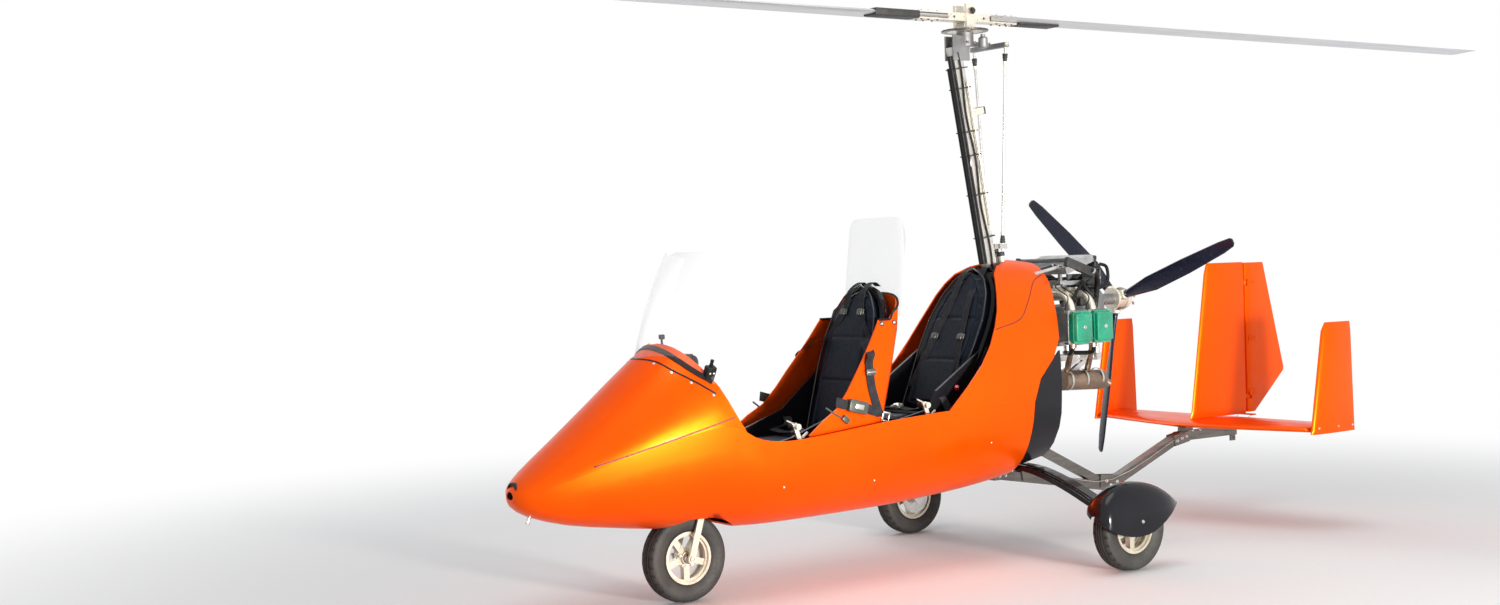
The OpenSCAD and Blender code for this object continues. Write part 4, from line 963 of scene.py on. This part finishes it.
def outside_belts():
    """The front belts, which hang out over the fairing on each side."""
    fairing = skin_tree("seat_fairing", "seat_shells")
    belts, metal, plastic = blanks(3)
    for side in (-1, 1):
        def spot(y, z, lift):
            at, _ = hit(fairing, (side, y, z), (-side, 0, 0))
            return (at or Vector((side * 0.292, y, z))) + Vector((side * lift, 0, 0))
        top = on_back(SEATS[0], side * 0.17, 0.49, 0.03)
        fall = [top, on_back(SEATS[0], side * 0.215, 0.45, 0.05), spot(-0.895, 1.09, 0.02),
                spot(-0.905, 1.05, 0.008), spot(-0.905, 0.95, 0.006),
                spot(-0.89, 0.87, 0.006), spot(-0.872, 0.8, 0.006)]
        ribbon(belts, fall, [(0.6 * side, 0.8, 0.1)] * 2 + [(0, 1, 0.1)] * 5, 0.046, 0.0024)
        lap = [spot(-1.13, 0.885, 0.02), spot(-1.07, 0.868, 0.01), spot(-0.98, 0.85, 0.012),
               spot(-0.905, 0.828, 0.012),
               spot(-0.875, 0.822, 0.012)]
        ribbon(belts, lap, [(0, 0.15, 1)] * 5, 0.046, 0.0024)
        at = spot(-1.0, 0.853, 0.019)
        turn = Matrix.Translation(at) @ Matrix.Rotation(math.radians(-14), 4, "X")
        block(plastic, (-0.011, -0.062, -0.03), (0.009, 0.048, 0.03), 0.006, turn)
        block(metal, (0.007, -0.03, -0.012), (0.0115, 0.02, 0.012), 0.002, turn)
        at = spot(-0.86, 0.80, 0.010)
        outer = Matrix.Translation(at) @ Matrix.Rotation(math.radians(-14), 4, "X")
        for low, high in (((-0.0015, -0.004, -0.024), (0.0015, 0.004, 0.024)),
                          ((-0.0015, 0.034, -0.024), (0.0015, 0.040, 0.024)),
                          ((-0.0015, 0.0, 0.016), (0.0015, 0.038, 0.024)),
                          ((-0.0015, 0.0, -0.024), (0.0015, 0.038, -0.016))):
            block(metal, low, high, 0.001, outer)
        at = spot(-0.905, 1.01, 0.012)
        block(plastic, (-0.006, -0.028, -0.016), (0.006, 0.028, 0.016), 0.004, Matrix.Translation(at))
        block(metal, (0.004, -0.024, -0.0025), (0.008, 0.024, 0.0025), 0.001, Matrix.Translation(at))
        start, end = spot(-1.18, 0.86, 0.006), spot(-1.08, 0.80, 0.006)
        tube(plastic, [start, (start + end) / 2 + Vector((0, 0.01, -0.01)), end], 0.0045, 8)
        block(plastic, (-0.008, -0.02, -0.014), (0.008, 0.02, 0.014), 0.003,
              Matrix.Translation(end) @ Matrix.Rotation(math.radians(-40), 4, "X"))
    piece("side_belts", belts, "airframe", "webbing", 40)
    piece("side_belt_metal", metal, "airframe", "bright_steel", 30)
    piece("side_belt_buckles", plastic, "airframe", "belt_buckle", 30)


def hand_controls():
    grips, metal, red = blanks(3)
    high = Vector(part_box("throttle_levers")[1])
    for y, z in ((-1.33, 0.70), (-0.56, 0.745)):
        at = Vector((high.x - 0.035, y, z + 0.088))
        turned(grips,
               [(0, 0), (0.0165, 0), (0.0185, 0.004), (0.0165, 0.01), (0.018, 0.016), (0.0165, 0.022),
                (0.018, 0.028), (0.0165, 0.034), (0.017, 0.044), (0, 0.046)],
               at + Vector((-0.045, -0.03, 0)), at + Vector((0.2, -0.03, 0)), 28)
        pin(metal, at + Vector((-0.012, -0.03, 0.01)), at + Vector((-0.012, -0.075, 0.03)), 0.004,
            sides=12)
        pin(metal, at + Vector((0.002, 0.0, -0.05)), at + Vector((-0.03, 0.05, -0.035)), 0.006, sides=12)
        turned(metal, [(0.006, 0), (0.014, 0), (0.014, 0.006), (0.006, 0.006), (0.006, 0)],
               at + Vector((-0.02, 0.012, -0.075)), at + Vector((1, 0.012, -0.075)), 24)
        bolt(metal, at + Vector((0.006, -0.01, -0.062)), (1, 0, 0), 0.007)
    at = Vector((0.243, -0.336, 0.885))
    turned(red,
           [(0, 0.03), (0.01, 0.028), (0.014, 0.02), (0.012, 0.01), (0.006, 0.004), (0.006, 0), (0, 0)],
           at,
           at + Vector((0.5, -0.3, 0.6)), 24)
    for y in (-1.6, -0.795):
        foot = Vector((0, y, 0.472))
        rings = [(0.052, 0.002), (0.055, 0.012), (0.046, 0.017), (0.049, 0.026), (0.039, 0.031),
                 (0.042, 0.040),
                 (0.031, 0.045), (0.033, 0.053), (0.022, 0.058), (0.016, 0.070), (0.0, 0.070)]
        turned(grips, rings, foot, foot + Vector((0, 0.03 if y < -1 else 0.05, 0.35)), 36)
    high = Vector(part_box("control_sticks")[1])
    for y in (-1.57, -0.745):
        top = Vector((0, y, high.z - 0.006))
        turned(red, [(0, 0.012), (0.006, 0.012), (0.007, 0.008), (0.007, 0), (0, 0)], top,
               top + Vector((0, 0, 1)), 18)
    piece("control_grips", grips, "airframe", "black_grip", 40)
    piece("lever_links", metal, "airframe", "cream_alloy", 35)
    piece("control_knobs", red, "airframe", "red_knob", 45)


# ---- mast and rotor head ----

def on_mast(z, x=0.0, back=0.0):
    return Vector((x, 0.314 - (z - 0.44) * math.tan(math.radians(10.3)) + back, z))


def mast_fittings():
    cables, ties, metal, steel = blanks(4)
    for x, back, low, high, r, wander in ((0.010, -0.045, 1.50, 2.56, 0.013, 0.0),
                                          (-0.012, -0.043, 1.5, 2.50, 0.011, 0.0),
                                          (0.031, -0.008, 1.47, 2.58, 0.005, 0.008)):
        way = []
        for i in range(15):
            z = low + (high - low) * i / 14
            way.append(on_mast(z, x, back + wander * math.sin(i * 1.1)))
        tube(cables, way, r, 10, 3)
    tube(metal, [on_mast(z, 0.034, 0.026) for z in (1.7, 2.0, 2.3, 2.44)], 0.009, 14, 2)
    for z in (1.64, 1.86, 2.06, 2.18, 2.4, 2.5):
        frame_turn = Matrix.Translation(on_mast(z)) @ Matrix.Rotation(math.radians(10.3), 4, "X")
        for low, high in (((-0.029, -0.051, -0.003), (0.043, -0.048, 0.003)),
                          ((-0.029, 0.032, -0.003), (0.043, 0.035, 0.003)),
                          ((0.041, -0.051, -0.003), (0.044, 0.035, 0.003)),
                          ((-0.030, -0.051, -0.003), (-0.027, 0.035, 0.003))):
            block(ties, low, high, 0.001, frame_turn)
    at = on_mast(2.27)
    turn = Matrix.Translation(at) @ Matrix.Rotation(math.radians(10.3), 4, "X")
    block(metal, (-0.032, 0.028, -0.017), (0.032, 0.115, 0.017), 0.003, turn)
    block(ties, (-0.034, 0.108, -0.019), (0.034, 0.118, 0.019), 0.003, turn)
    for side in (-1, 1):
        bolt(metal, turn @ Vector((side * 0.0325, 0.045, 0)), (side, 0, 0), 0.007)
    # Trim and brake cylinders behind the mast's foot
    for x, r, low, high in ((-0.034, 0.017, 1.415, 1.555), (0.034, 0.017, 1.415, 1.555),
                            (0, 0.013, 1.43, 1.57)):
        start, end = on_mast(low, x, 0.062), on_mast(high, x, 0.062)
        pin(metal, start, end, r, sides=28, round_by=0.002)
        pin(ties, start - (end - start) * 0.1, start + (end - start) * 0.04, r * 1.12, sides=28,
            round_by=0.002)
        pin(ties, end - (end - start) * 0.12, end + (end - start) * 0.02, r * 1.12, sides=28,
            round_by=0.002)
    for x in (-0.05, 0.05):
        for z in (1.44, 1.52):
            at = on_mast(z, x, 0.062)
            bolt(metal, at, (math.copysign(1, x), 0, 0), 0.006)
    for side in (-1, 1):
        # Forks and rubber boots at both ends of each push rod
        low, high = Vector((side * 0.052, 0.172, 1.595)), Vector((side * 0.118, 0.165, 2.585))
        way = (high - low).normalized()
        for at, ahead in ((low + way * 0.01, way), (high - way * 0.012, -way)):
            turned(ties,
                   [(0.0072, 0), (0.013, 0), (0.0145, 0.008), (0.012, 0.012), (0.0135, 0.02),
                    (0.0105, 0.026),
                    (0.0115, 0.033), (0.0072, 0.04)], at, at + ahead, 20)
            pin(metal, at + ahead * 0.04, at + ahead * 0.056, 0.0105, sides=6)
        bolt(metal, Vector((side * 0.132, 0.165, 2.623)), (side, 0, 0), 0.009)
    piece("mast_cables", cables, "airframe", "black_rubber", 50)
    piece("mast_ties", ties, "airframe", "black_grip", 35)
    piece("mast_cylinders", metal, "airframe", "cream_alloy", 35)
    block(steel, (-0.031, -0.036, 2.0), (0.031, -0.030, 2.06), 0.001,
          Matrix.Translation((0, 0.314 - (2.03 - 0.44) * 0.18173, 0)))
    piece("mast_bracket", steel, "airframe", "bright_steel", 35)


def rotor_fittings():
    dark, metal, ring, fixed = blanks(4)
    z = ROTOR_Z
    for side in (-1, 1):
        bolt(dark, (side * 0.0615, 0, z + 0.034), (side, 0, 0), 0.017)
        for y in (-0.305, -0.26, -0.2, 0.2, 0.26, 0.305):
            for lift, out in ((0.0242, 1), (-0.0172, -1)):
                bolt(dark, (side * 0.021, y, z + lift), (0, 0, out), 0.006)
        for y in (-0.1, 0.1):
            bolt(dark, (side * 0.036, y, z + 0.002), (side, 0, 0), 0.006)
    # Black sleeves over the blades' roots
    for side in (-1, 1):
        a, b = sorted((side * 0.335, side * 0.62))
        block(dark, (-0.048, a, z - 0.017), (0.052, b, z + 0.019), 0.006)
        for y in (0.37, 0.41, 0.45, 0.49, 0.53, 0.57):
            bolt(metal, (-0.01, side * y, z + 0.019), (0, 0, 1), 0.005)
            bolt(metal, (0.02, side * y, z + 0.019), (0, 0, 1), 0.005)
    # Toothed ring of the starter drive, under the tower
    place = Vector((0, 0, 2.6895))
    turned(ring, [(0.09, 0), (0.117, 0), (0.117, 0.009), (0.09, 0.009), (0.09, 0)], place,
           place + Vector((0, 0, 1)), 90)
    teeth = [f for f in ring.faces if abs(f.normal.z) < 0.1 and f.calc_center_median().xy.length > 0.11]
    middles = [f.calc_center_median() for f in teeth]
    turns = [math.degrees(math.atan2(m.y, m.x)) for m in middles]
    teeth = [f for f, turn in zip(teeth, turns) if round(turn / 4 - 0.5) % 2 == 0]
    bmesh.ops.inset_individual(ring, faces=teeth, thickness=0.0008, depth=0.0035)
    for k in range(10):
        a = math.tau * k / 10 + 0.2
        bolt(metal, (0.098 * math.cos(a), 0.098 * math.sin(a), 2.6985), (0, 0, 1), 0.006)
    # What stays with the mast: bolts through the side plates, a pin and the drive housing
    for side in (-1, 1):
        for y in (-0.02, 0.028):
            bolt(fixed, (side * 0.045, y, 2.632), (side, 0, 0), 0.007)
    turned(fixed, [(0, 0), (0.02, 0), (0.024, 0.006), (0.024, 0.05), (0.018, 0.058), (0, 0.058)],
           (0.075, 0.055, 2.60),
           (0.075, 0.055, 3), 28)
    pin(fixed, (0.075, 0.055, 2.655), (0.075, 0.055, 2.672), 0.012, sides=16)
    piece("rotor_bolts", dark, "rotor", "black_grip", 30)
    piece("rotor_screws", metal, "rotor", "bright_steel", 30)
    piece("starter_ring", ring, "rotor", "frame_steel", 25)
    piece("head_fittings", fixed, "airframe", "engine_casting", 30)


pod_trim()
instruments()
outside_belts()
hand_controls()
mast_fittings()
rotor_fittings()

# ---- engine and propeller ----

def engine_fittings():
    dark, metal, hose, cast = blanks(4)
    clamp, copper, green, filt = blanks(4)
    for side in (-1, 1):
        for y in (0.455, 0.605):
            # Cooling fins round each cylinder, and the lip and screw of its rocker cover
            for k in range(9):
                x = 0.122 + 0.0085 * k
                side_block(cast, side, (x, y - 0.071, 1.083), (x + 0.003, y + 0.071, 1.237), 0.001)
            side_block(cast, side, (0.288, y - 0.069, 1.072), (0.294, y + 0.069, 1.248), 0.0015)
            side_block(green, side, (0.300, y - 0.058, 1.086), (0.346, y + 0.058, 1.234), 0.012)
            bolt(metal, (side * 0.346, y, 1.16), (side, 0, 0), 0.010)
            for dy in (-0.056, 0.056):
                for z in (1.086, 1.234):
                    bolt(metal, (side * 0.294, y + dy, z), (side, 0, 0), 0.005)
            # Spark plugs, their caps and leads
            for dy, z0 in ((-0.03, 1.232), (0.03, 1.232)):
                foot = Vector((side * 0.235, y + dy, z0))
                pin(metal, foot, foot + Vector((side * 0.008, 0, 0.02)), 0.007, sides=12)
                pin(dark, foot + Vector((side * 0.006, 0, 0.016)), foot + Vector((side * 0.016, 0, 0.05)),
                    0.009,
                    0.007, 14)
                tube(hose,
                     [foot + Vector((side * 0.015, 0, 0.045)), foot + Vector((side * 0.01, 0.01, 0.085)),
                      Vector((side * 0.16, y + dy * 0.7, 1.375)),
                      Vector((side * 0.06, 0.70, 1.385)),
                      Vector((side * 0.03, 0.735 + dy * 0.4, 1.30))], 0.0035, 8)
            # Coolant elbow under and oil line over each head
            tube(hose, [(side * 0.255, y, 1.09), (side * 0.255, y, 1.05), (side * 0.22, y + 0.01, 1.02),
                        (side * 0.12, 0.53, 1.02)], 0.011, 12)
            tube(hose, [(side * 0.215, y + 0.045, 1.232), (side * 0.215, y + 0.05, 1.30),
                        (side * 0.17, 0.62, 1.385), (side * 0.05, 0.79, 1.41)], 0.009, 12)
            turned(clamp, [(0.0095, 0), (0.0125, 0), (0.0125, 0.009), (0.0095, 0.009), (0.0095, 0)],
                   (side * 0.215, y + 0.045, 1.248), (side * 0.215, y + 0.046, 1.4), 20)
            # Flange where the exhaust leaves the head
            turned(copper, [(0.018, 0), (0.033, 0), (0.033, 0.007), (0.018, 0.007), (0.018, 0)],
                   (side * 0.235, y, 1.078), (side * 0.235, y, 1), 28)
        # Carburettor, its filter and its cables
        at = Vector((side * 0.1, 0.395, 1.30))
        turned(cast,
               [(0, 0), (0.026, 0), (0.028, 0.006), (0.028, 0.05), (0.034, 0.054), (0.034, 0.062),
                (0, 0.062)],
               at, at + Vector((0, -1, 0.1)), 30)
        turned(cast, [(0, 0), (0.02, 0), (0.02, 0.04), (0.016, 0.046), (0, 0.046)],
               at + Vector((0, -0.025, 0)),
               at + Vector((0, -0.025, 1)), 24)
        outline = [(0, -0.002), (0.03, 0)]
        for k in range(8):
            outline += [(0.040, 0.004 + 0.008 * k), (0.036, 0.008 + 0.008 * k)]
        outline += [(0.034, 0.07), (0, 0.072)]
        turned(filt, outline, at + Vector((0, -0.055, 0.006)), at + Vector((side * 0.1, -1, 0.1)), 36)
        tube(hose, [at + Vector((0, -0.025, 0.045)), at + Vector((-side * 0.01, -0.03, 0.08)),
                    Vector((side * 0.05, 0.30, 1.42)), Vector((side * 0.03, 0.272, 1.36))], 0.004, 8)
        tube(hose, [at + Vector((side * 0.02, -0.02, 0)), at + Vector((side * 0.06, -0.02, -0.03)),
                    Vector((side * 0.14, 0.34, 1.2)), Vector((side * 0.06, 0.31, 1.1))], 0.005, 8)
    # Oil filter, starter, fuel pump, ignition boxes, gearbox bolts
    at = Vector((0.03, 0.33, 1.06))
    turned(dark, [(0, 0), (0.034, 0), (0.036, 0.006), (0.036, 0.06), (0.03, 0.068), (0, 0.07)], at,
           at + Vector((0.2, 0, -1)), 34)
    turned(dark, [(0, 0), (0.03, 0), (0.032, 0.004), (0.032, 0.1), (0.026, 0.106), (0, 0.108)],
           (-0.07, 0.78, 1.10),
           (-0.07, 0, 1.10), 32)
    turned(cast, [(0, 0), (0.026, 0), (0.028, 0.01), (0.022, 0.03), (0.01, 0.034), (0, 0.034)],
           (0.07, 0.60, 1.255),
           (0.07, 0.60, 2), 26)
    for side in (-1, 1):
        block(dark, (side * 0.045 - 0.03, 0.70, 1.262), (side * 0.045 + 0.03, 0.752, 1.31), 0.004)
        for k in range(3):
            block(cast, (side * 0.045 - 0.028, 0.704 + 0.016 * k, 1.309),
                  (side * 0.045 + 0.028, 0.709 + 0.016 * k, 1.316),
                  0.001)
    for k in range(12):
        a = math.tau * k / 12
        bolt(metal, (0.076 * math.cos(a), 0.892, 1.21 + 0.11 * math.sin(a)), (0, 1, 0), 0.006)
    for k in range(6):
        bolt(metal, (0.1155, 0.36 + 0.07 * k, 1.07), (1, 0, 0), 0.0055)
        bolt(metal, (-0.1155, 0.36 + 0.07 * k, 1.07), (-1, 0, 0), 0.0055)
        block(cast, (-0.06 + 0.022 * k, 0.40, 1.258), (-0.054 + 0.022 * k, 0.68, 1.268), 0.001)
    # Radiator: end tanks, tubes and hoses
    tilt = math.atan2(-(1.500 - 1.432), 0.2)
    for side in (-1, 1):
        turn = Matrix.Translation((side * 0.185, 0.59, 1.466)) @ Matrix.Rotation(tilt, 4, "X")
        block(dark, (-0.014, -0.108, -0.024), (0.014, 0.108, 0.024), 0.005, turn)
        tube(hose, [(side * 0.19, 0.66, 1.45), (side * 0.19, 0.70, 1.43), (side * 0.15, 0.75, 1.38),
                    (side * 0.12, 0.76, 1.25)], 0.014, 14)
        turned(clamp, [(0.0145, 0), (0.0175, 0), (0.0175, 0.011), (0.0145, 0.011), (0.0145, 0)],
               (side * 0.19, 0.672, 1.447), (side * 0.19, 0.72, 1.42), 22)
        for k in range(2):
            x, z = side * (0.10 + 0.045 * k), 1.477 - 0.004 * k
            pin(metal if k else dark, (x, 0.30, z - 0.035), (x, 0.492, z), 0.010, sides=20)
            turned(clamp, [(0.0105, 0), (0.0135, 0), (0.0135, 0.01), (0.0105, 0.01), (0.0105, 0)],
                   (x, 0.465, z - 0.005), (x, 0.492, z), 20)
    turn = Matrix.Translation((0, 0.59, 1.466)) @ Matrix.Rotation(tilt, 4, "X")
    for k in range(60):
        x = -0.168 + 0.0057 * k
        block(cast, (x, -0.1, 0.0165), (x + 0.0012, 0.1, 0.0195), 0.0003, turn)
    for k in range(7):
        y = -0.093 + 0.031 * k
        block(metal, (-0.17, y - 0.002, 0.0168), (0.17, y + 0.002, 0.0185), 0.0004, turn)
    # Ringed cap and hoses of the coolant tank
    for z, r in ((1.355, 0.0545), (1.40, 0.0535), (1.45, 0.0545)):
        place = Vector((0, 0.855, z))
        turned(clamp if z == 1.40 else dark,
               [(0.05, 0), (r, 0.001), (r, 0.008), (0.05, 0.009), (0.05, 0)], place,
               place + Vector((0, 0, 1)), 40)
    cap = [(0, 0.014), (0.026, 0.014), (0.03, 0.010), (0.031, 0.0), (0.029, -0.012), (0.0, -0.012)]
    turned(dark, cap, (0, 0.855, 1.512), (0, 0.855, 2), 36)
    for k in range(12):
        a = math.tau * k / 12
        block(dark, (-0.003, 0.028, 1.502), (0.003, 0.034, 1.524), 0.001,
              Matrix.Translation((0, 0.855, 0)) @ Matrix.Rotation(a, 4, "Z"))
    tube(hose, [(0.03, 0.89, 1.48), (0.06, 0.915, 1.46), (0.085, 0.89, 1.38), (0.09, 0.80, 1.34)], 0.009,
         12)
    tube(hose, [(-0.03, 0.82, 1.49), (-0.05, 0.77, 1.50), (-0.06, 0.70, 1.47), (-0.05, 0.66, 1.45)],
         0.008, 12)
    tube(hose, [(0.0, 0.81, 1.36), (0.02, 0.76, 1.35), (0.05, 0.70, 1.34), (0.07, 0.63, 1.29)], 0.012, 12)
    # Tail pipe and heat bands on the silencer
    for y in (0.53, 0.64, 0.75):
        turned(metal, [(0.052, 0), (0.0545, 0), (0.0545, 0.012), (0.052, 0.012), (0.052, 0)],
               (0.12, y, 0.874),
               (0.12, y + 1, 0.874), 40)
    turned(copper, [(0.016, 0), (0.02, 0), (0.02, 0.07), (0.016, 0.07), (0.016, 0)], (0.12, 0.775, 0.874),
           (0.16, 0.9, 0.80), 28)
    # Cables from the engine to the wall
    for x, z, end in ((0.07, 1.25, 1.3), (0.02, 1.2, 1.22), (-0.05, 1.24, 1.33), (-0.09, 1.12, 1.15)):
        tube(hose,
             [(x, 0.5, z + 0.03), (x * 1.3, 0.42, z + 0.06), (x * 1.6, 0.33, z + 0.04),
              (x * 1.4, 0.272, end)],
             0.0045, 8)
    for x in (-0.27, -0.1, 0.1, 0.27):
        for z in (0.6, 0.9, 1.18):
            bolt(metal, (x, 0.268, z), (0, 1, 0), 0.007)
    for name, shape, look, smooth in (("engine_dark", dark, "black_grip", 30),
                                      ("engine_bolts", metal, "bright_steel", 30),
                                      ("engine_hoses", hose, "black_rubber", 50),
                                      ("engine_fins", cast, "engine_casting", 25),
                                      ("hose_clamps", clamp, "bright_steel", 30),
                                      ("exhaust_flanges", copper, "exhaust_steel", 30),
                                      ("rocker_ribs", green, "green_cover", 30),
                                      ("air_filters", filt, "webbing", 20)):
        piece(name, shape, "airframe", look, smooth)


def propeller_fittings():
    metal, cone = blanks(2)
    for k in range(6):
        a = math.tau * k / 6 + 0.3
        bolt(metal, (0.04 * math.cos(a), 1.1445, THRUST_Z + 0.04 * math.sin(a)), (0, 1, 0), 0.009)
    turned(cone, [(0, 0.012), (0.01, 0.0115), (0.018, 0.008), (0.022, 0), (0, 0)], (0, 1.144, THRUST_Z),
           (0, 2, THRUST_Z), 32)
    for k in range(3):
        a = math.radians(70 + 120 * k)
        way = Vector((math.sin(a), 0, math.cos(a)))
        start = Vector((0, 1.05, THRUST_Z)) + way * 0.058
        turned(cone, [(0.02, 0), (0.03, 0), (0.03, 0.016), (0.026, 0.02), (0.02, 0.02), (0.02, 0)], start,
               start + way, 32)
    piece("propeller_bolts", metal, "propeller", "bright_steel", 30)
    piece("propeller_collars", cone, "propeller", "cream_alloy", 35)


# ---- keel, landing gear, tail ----

def gear_fittings():
    metal, dark, line = blanks(3)
    for side in (-1, 1):
        for y, z in ((0.937, 0.275), (0.905, 0.30), (0.985, 0.29), (1.508, 0.484), (1.545, 0.492),
                     (1.47, 0.472)):
            bolt(metal, (side * 0.0302, y, z), (side, 0, 0), 0.009)
        for y in (0.12, 0.16):
            bolt(metal, (side * 0.0385, y, 0.40), (side, 0, 0), 0.009)
        for y, z in ((1.60, 0.50), (1.66, 0.50), (1.89, 0.50), (1.93, 0.50)):
            bolt(metal, (side * 0.0285, y, z + 0.02), (side, 0, 0), 0.007)
        bolt(metal, (side * 0.0335, 0.327, 0.415), (side, 0, 0), 0.010)
        # Clamp block of the landing gear's bow
        block(dark, (side * 0.055 - 0.012, 0.082, 0.455), (side * 0.055 + 0.012, 0.178, 0.478), 0.003)
        for y in (0.095, 0.165):
            bolt(metal, (side * 0.055, y, 0.478), (0, 0, 1), 0.006)
        for y in (0.115, 0.155):
            for z in (0.315, 0.345):
                bolt(metal, (side * 0.7472, y, z), (side, 0, 0), 0.008)
        # Brake line along the bow
        way = []
        bow = skin_tree("landing_gear_bow")
        for i in range(13):
            x = side * (0.08 + 0.052 * i)
            spot, normal = hit(bow, (x, 0.105, 1), (0, 0, -1))
            if spot:
                way.append(spot + normal * 0.006)
        way += [Vector((side * 0.752, 0.14, 0.30)), Vector((side * 0.765, 0.19, 0.27))]
        tube(line, way, 0.004, 8, 3)
        # Brake disc and caliper inside each main wheel, hub cap and nut outside
        body = "wheel_left" if side > 0 else "wheel_right"
        made = bmesh.new()
        centre = Vector((side * 0.829, 0.226, 0.2055))
        turned(made, [(0.02, 0), (0.088, 0), (0.088, 0.005), (0.02, 0.005), (0.02, 0)],
               centre - Vector((side * 0.052, 0, 0)), centre, 60)
        holes = [f for f in made.faces if 0.06 < (f.calc_center_median() - centre).yz.length < 0.08]
        bmesh.ops.inset_individual(made, faces=holes[::3], thickness=0.001, depth=-0.001)
        turned(made, [(0, 0.014), (0.012, 0.013), (0.022, 0.010), (0.026, 0.004), (0.027, 0), (0, 0)],
               centre + Vector((side * 0.043, 0, 0)), centre + Vector((side, 0, 0)), 36)
        for k in range(5):
            a = math.tau * k / 5 + 0.3
            bolt(made, centre + Vector((side * 0.04, 0.04 * math.cos(a), 0.04 * math.sin(a))),
                 (side, 0, 0), 0.007)
        pin(made, centre + Vector((side * 0.03, 0.09, 0.02)),
            centre + Vector((side * 0.055, 0.094, 0.02)), 0.003,
            sides=10)
        piece(body + "_brake_disc", made, body, "bright_steel", 30)
        block(dark, (side * 0.775 - 0.016, 0.12, 0.235), (side * 0.775 + 0.016, 0.165, 0.285), 0.005)
        for z in (0.245, 0.275):
            bolt(metal, (side * 0.759, 0.142, z), (-side, 0, 0), 0.006)
        guards = skin_tree("mudguards")
        for y, z in ((0.226, 0.245), ):
            spot, normal = hit(guards, (side * 1.2, y, z), (-side, 0, 0))
            if spot:
                bolt(metal, spot, normal, 0.008)
    made = bmesh.new()
    centre = Vector((0, -1.794, 0.2055))
    for side in (-1, 1):
        turned(made, [(0, 0.012), (0.02, 0.010), (0.025, 0.004), (0.026, 0), (0, 0)],
               centre + Vector((side * 0.042, 0, 0)), centre + Vector((side, 0, 0)), 32)
        for k in range(5):
            a = math.tau * k / 5 + 0.3
            bolt(made, centre + Vector((side * 0.04, 0.04 * math.cos(a), 0.04 * math.sin(a))),
                 (side, 0, 0), 0.006)
    piece("nose_wheel_nuts", made, "nose_wheel", "bright_steel", 30)
    made = bmesh.new()
    for side in (-1, 1):
        bolt(made, centre + Vector((side * 0.0735, 0, 0)), (side, 0, 0), 0.012)
    piece("nose_fork_nuts", made, "nose_steering", "bright_steel", 30)
    # Steering rods under the floor, to the pedals
    for side in (-1, 1):
        tube(line, [(side * 0.11, -2.13, 0.66), (side * 0.12, -1.95, 0.50), (side * 0.1, -1.76, 0.488)],
             0.004, 8)
    for x in (-0.11, 0.11):
        block(dark, (x - 0.043, -2.139, 0.605), (x + 0.043, -2.134, 0.705), 0.002)
        for k in range(5):
            block(dark, (x - 0.04, -2.136, 0.612 + 0.02 * k), (x + 0.04, -2.130, 0.620 + 0.02 * k), 0.002)
    piece("gear_bolts", metal, "airframe", "bright_steel", 30)
    piece("gear_blocks", dark, "airframe", "black_grip", 30)
    piece("brake_lines", line, "airframe", "black_rubber", 50)


def tail_fittings():
    metal, straps, moving = blanks(3)
    for z in (0.70, 1.02, 1.34):
        for side in (-1, 1):
            side_block(moving, side, (0.0165, 2.105, z - 0.016), (0.0195, 2.175, z + 0.016), 0.001)
            for y in (2.135, 2.16):
                bolt(moving, (side * 0.0195, y, z), (side, 0, 0), 0.005)
    for side in (-1, 1):
        for y in (1.70, 1.86, 1.98):
            bolt(metal, (side * 0.05, y, 0.5402), (0, 0, -1), 0.007)
            bolt(metal, (side * 0.8102, y, 0.57), (side, 0, 0), 0.006)
        # Rudder horn and its cable from the keel
        tube(straps, [(side * 0.045, 2.09, 0.575), (side * 0.04, 1.95, 0.532), (side * 0.034, 1.6, 0.525),
                      (side * 0.034, 1.50, 0.50), (side * 0.034, 0.94, 0.305),
                      (side * 0.034, 0.50, 0.375)], 0.002, 6, 4)
    block(moving, (-0.055, 2.082, 0.571), (0.055, 2.112, 0.579), 0.002)
    turned(metal, [(0, 0.03), (0.008, 0.029), (0.013, 0.02), (0.014, 0.0), (0, 0)], (0, 1.72, 1.46),
           (0, 1.72, 2), 24)
    piece("tail_bolts", metal, "airframe", "bright_steel", 30)
    piece("rudder_cables", straps, "airframe", "bright_steel", 40)
    piece("rudder_hinges", moving, "rudder", "orange_shell", 30)


engine_fittings()
propeller_fittings()
gear_fittings()
tail_fittings()
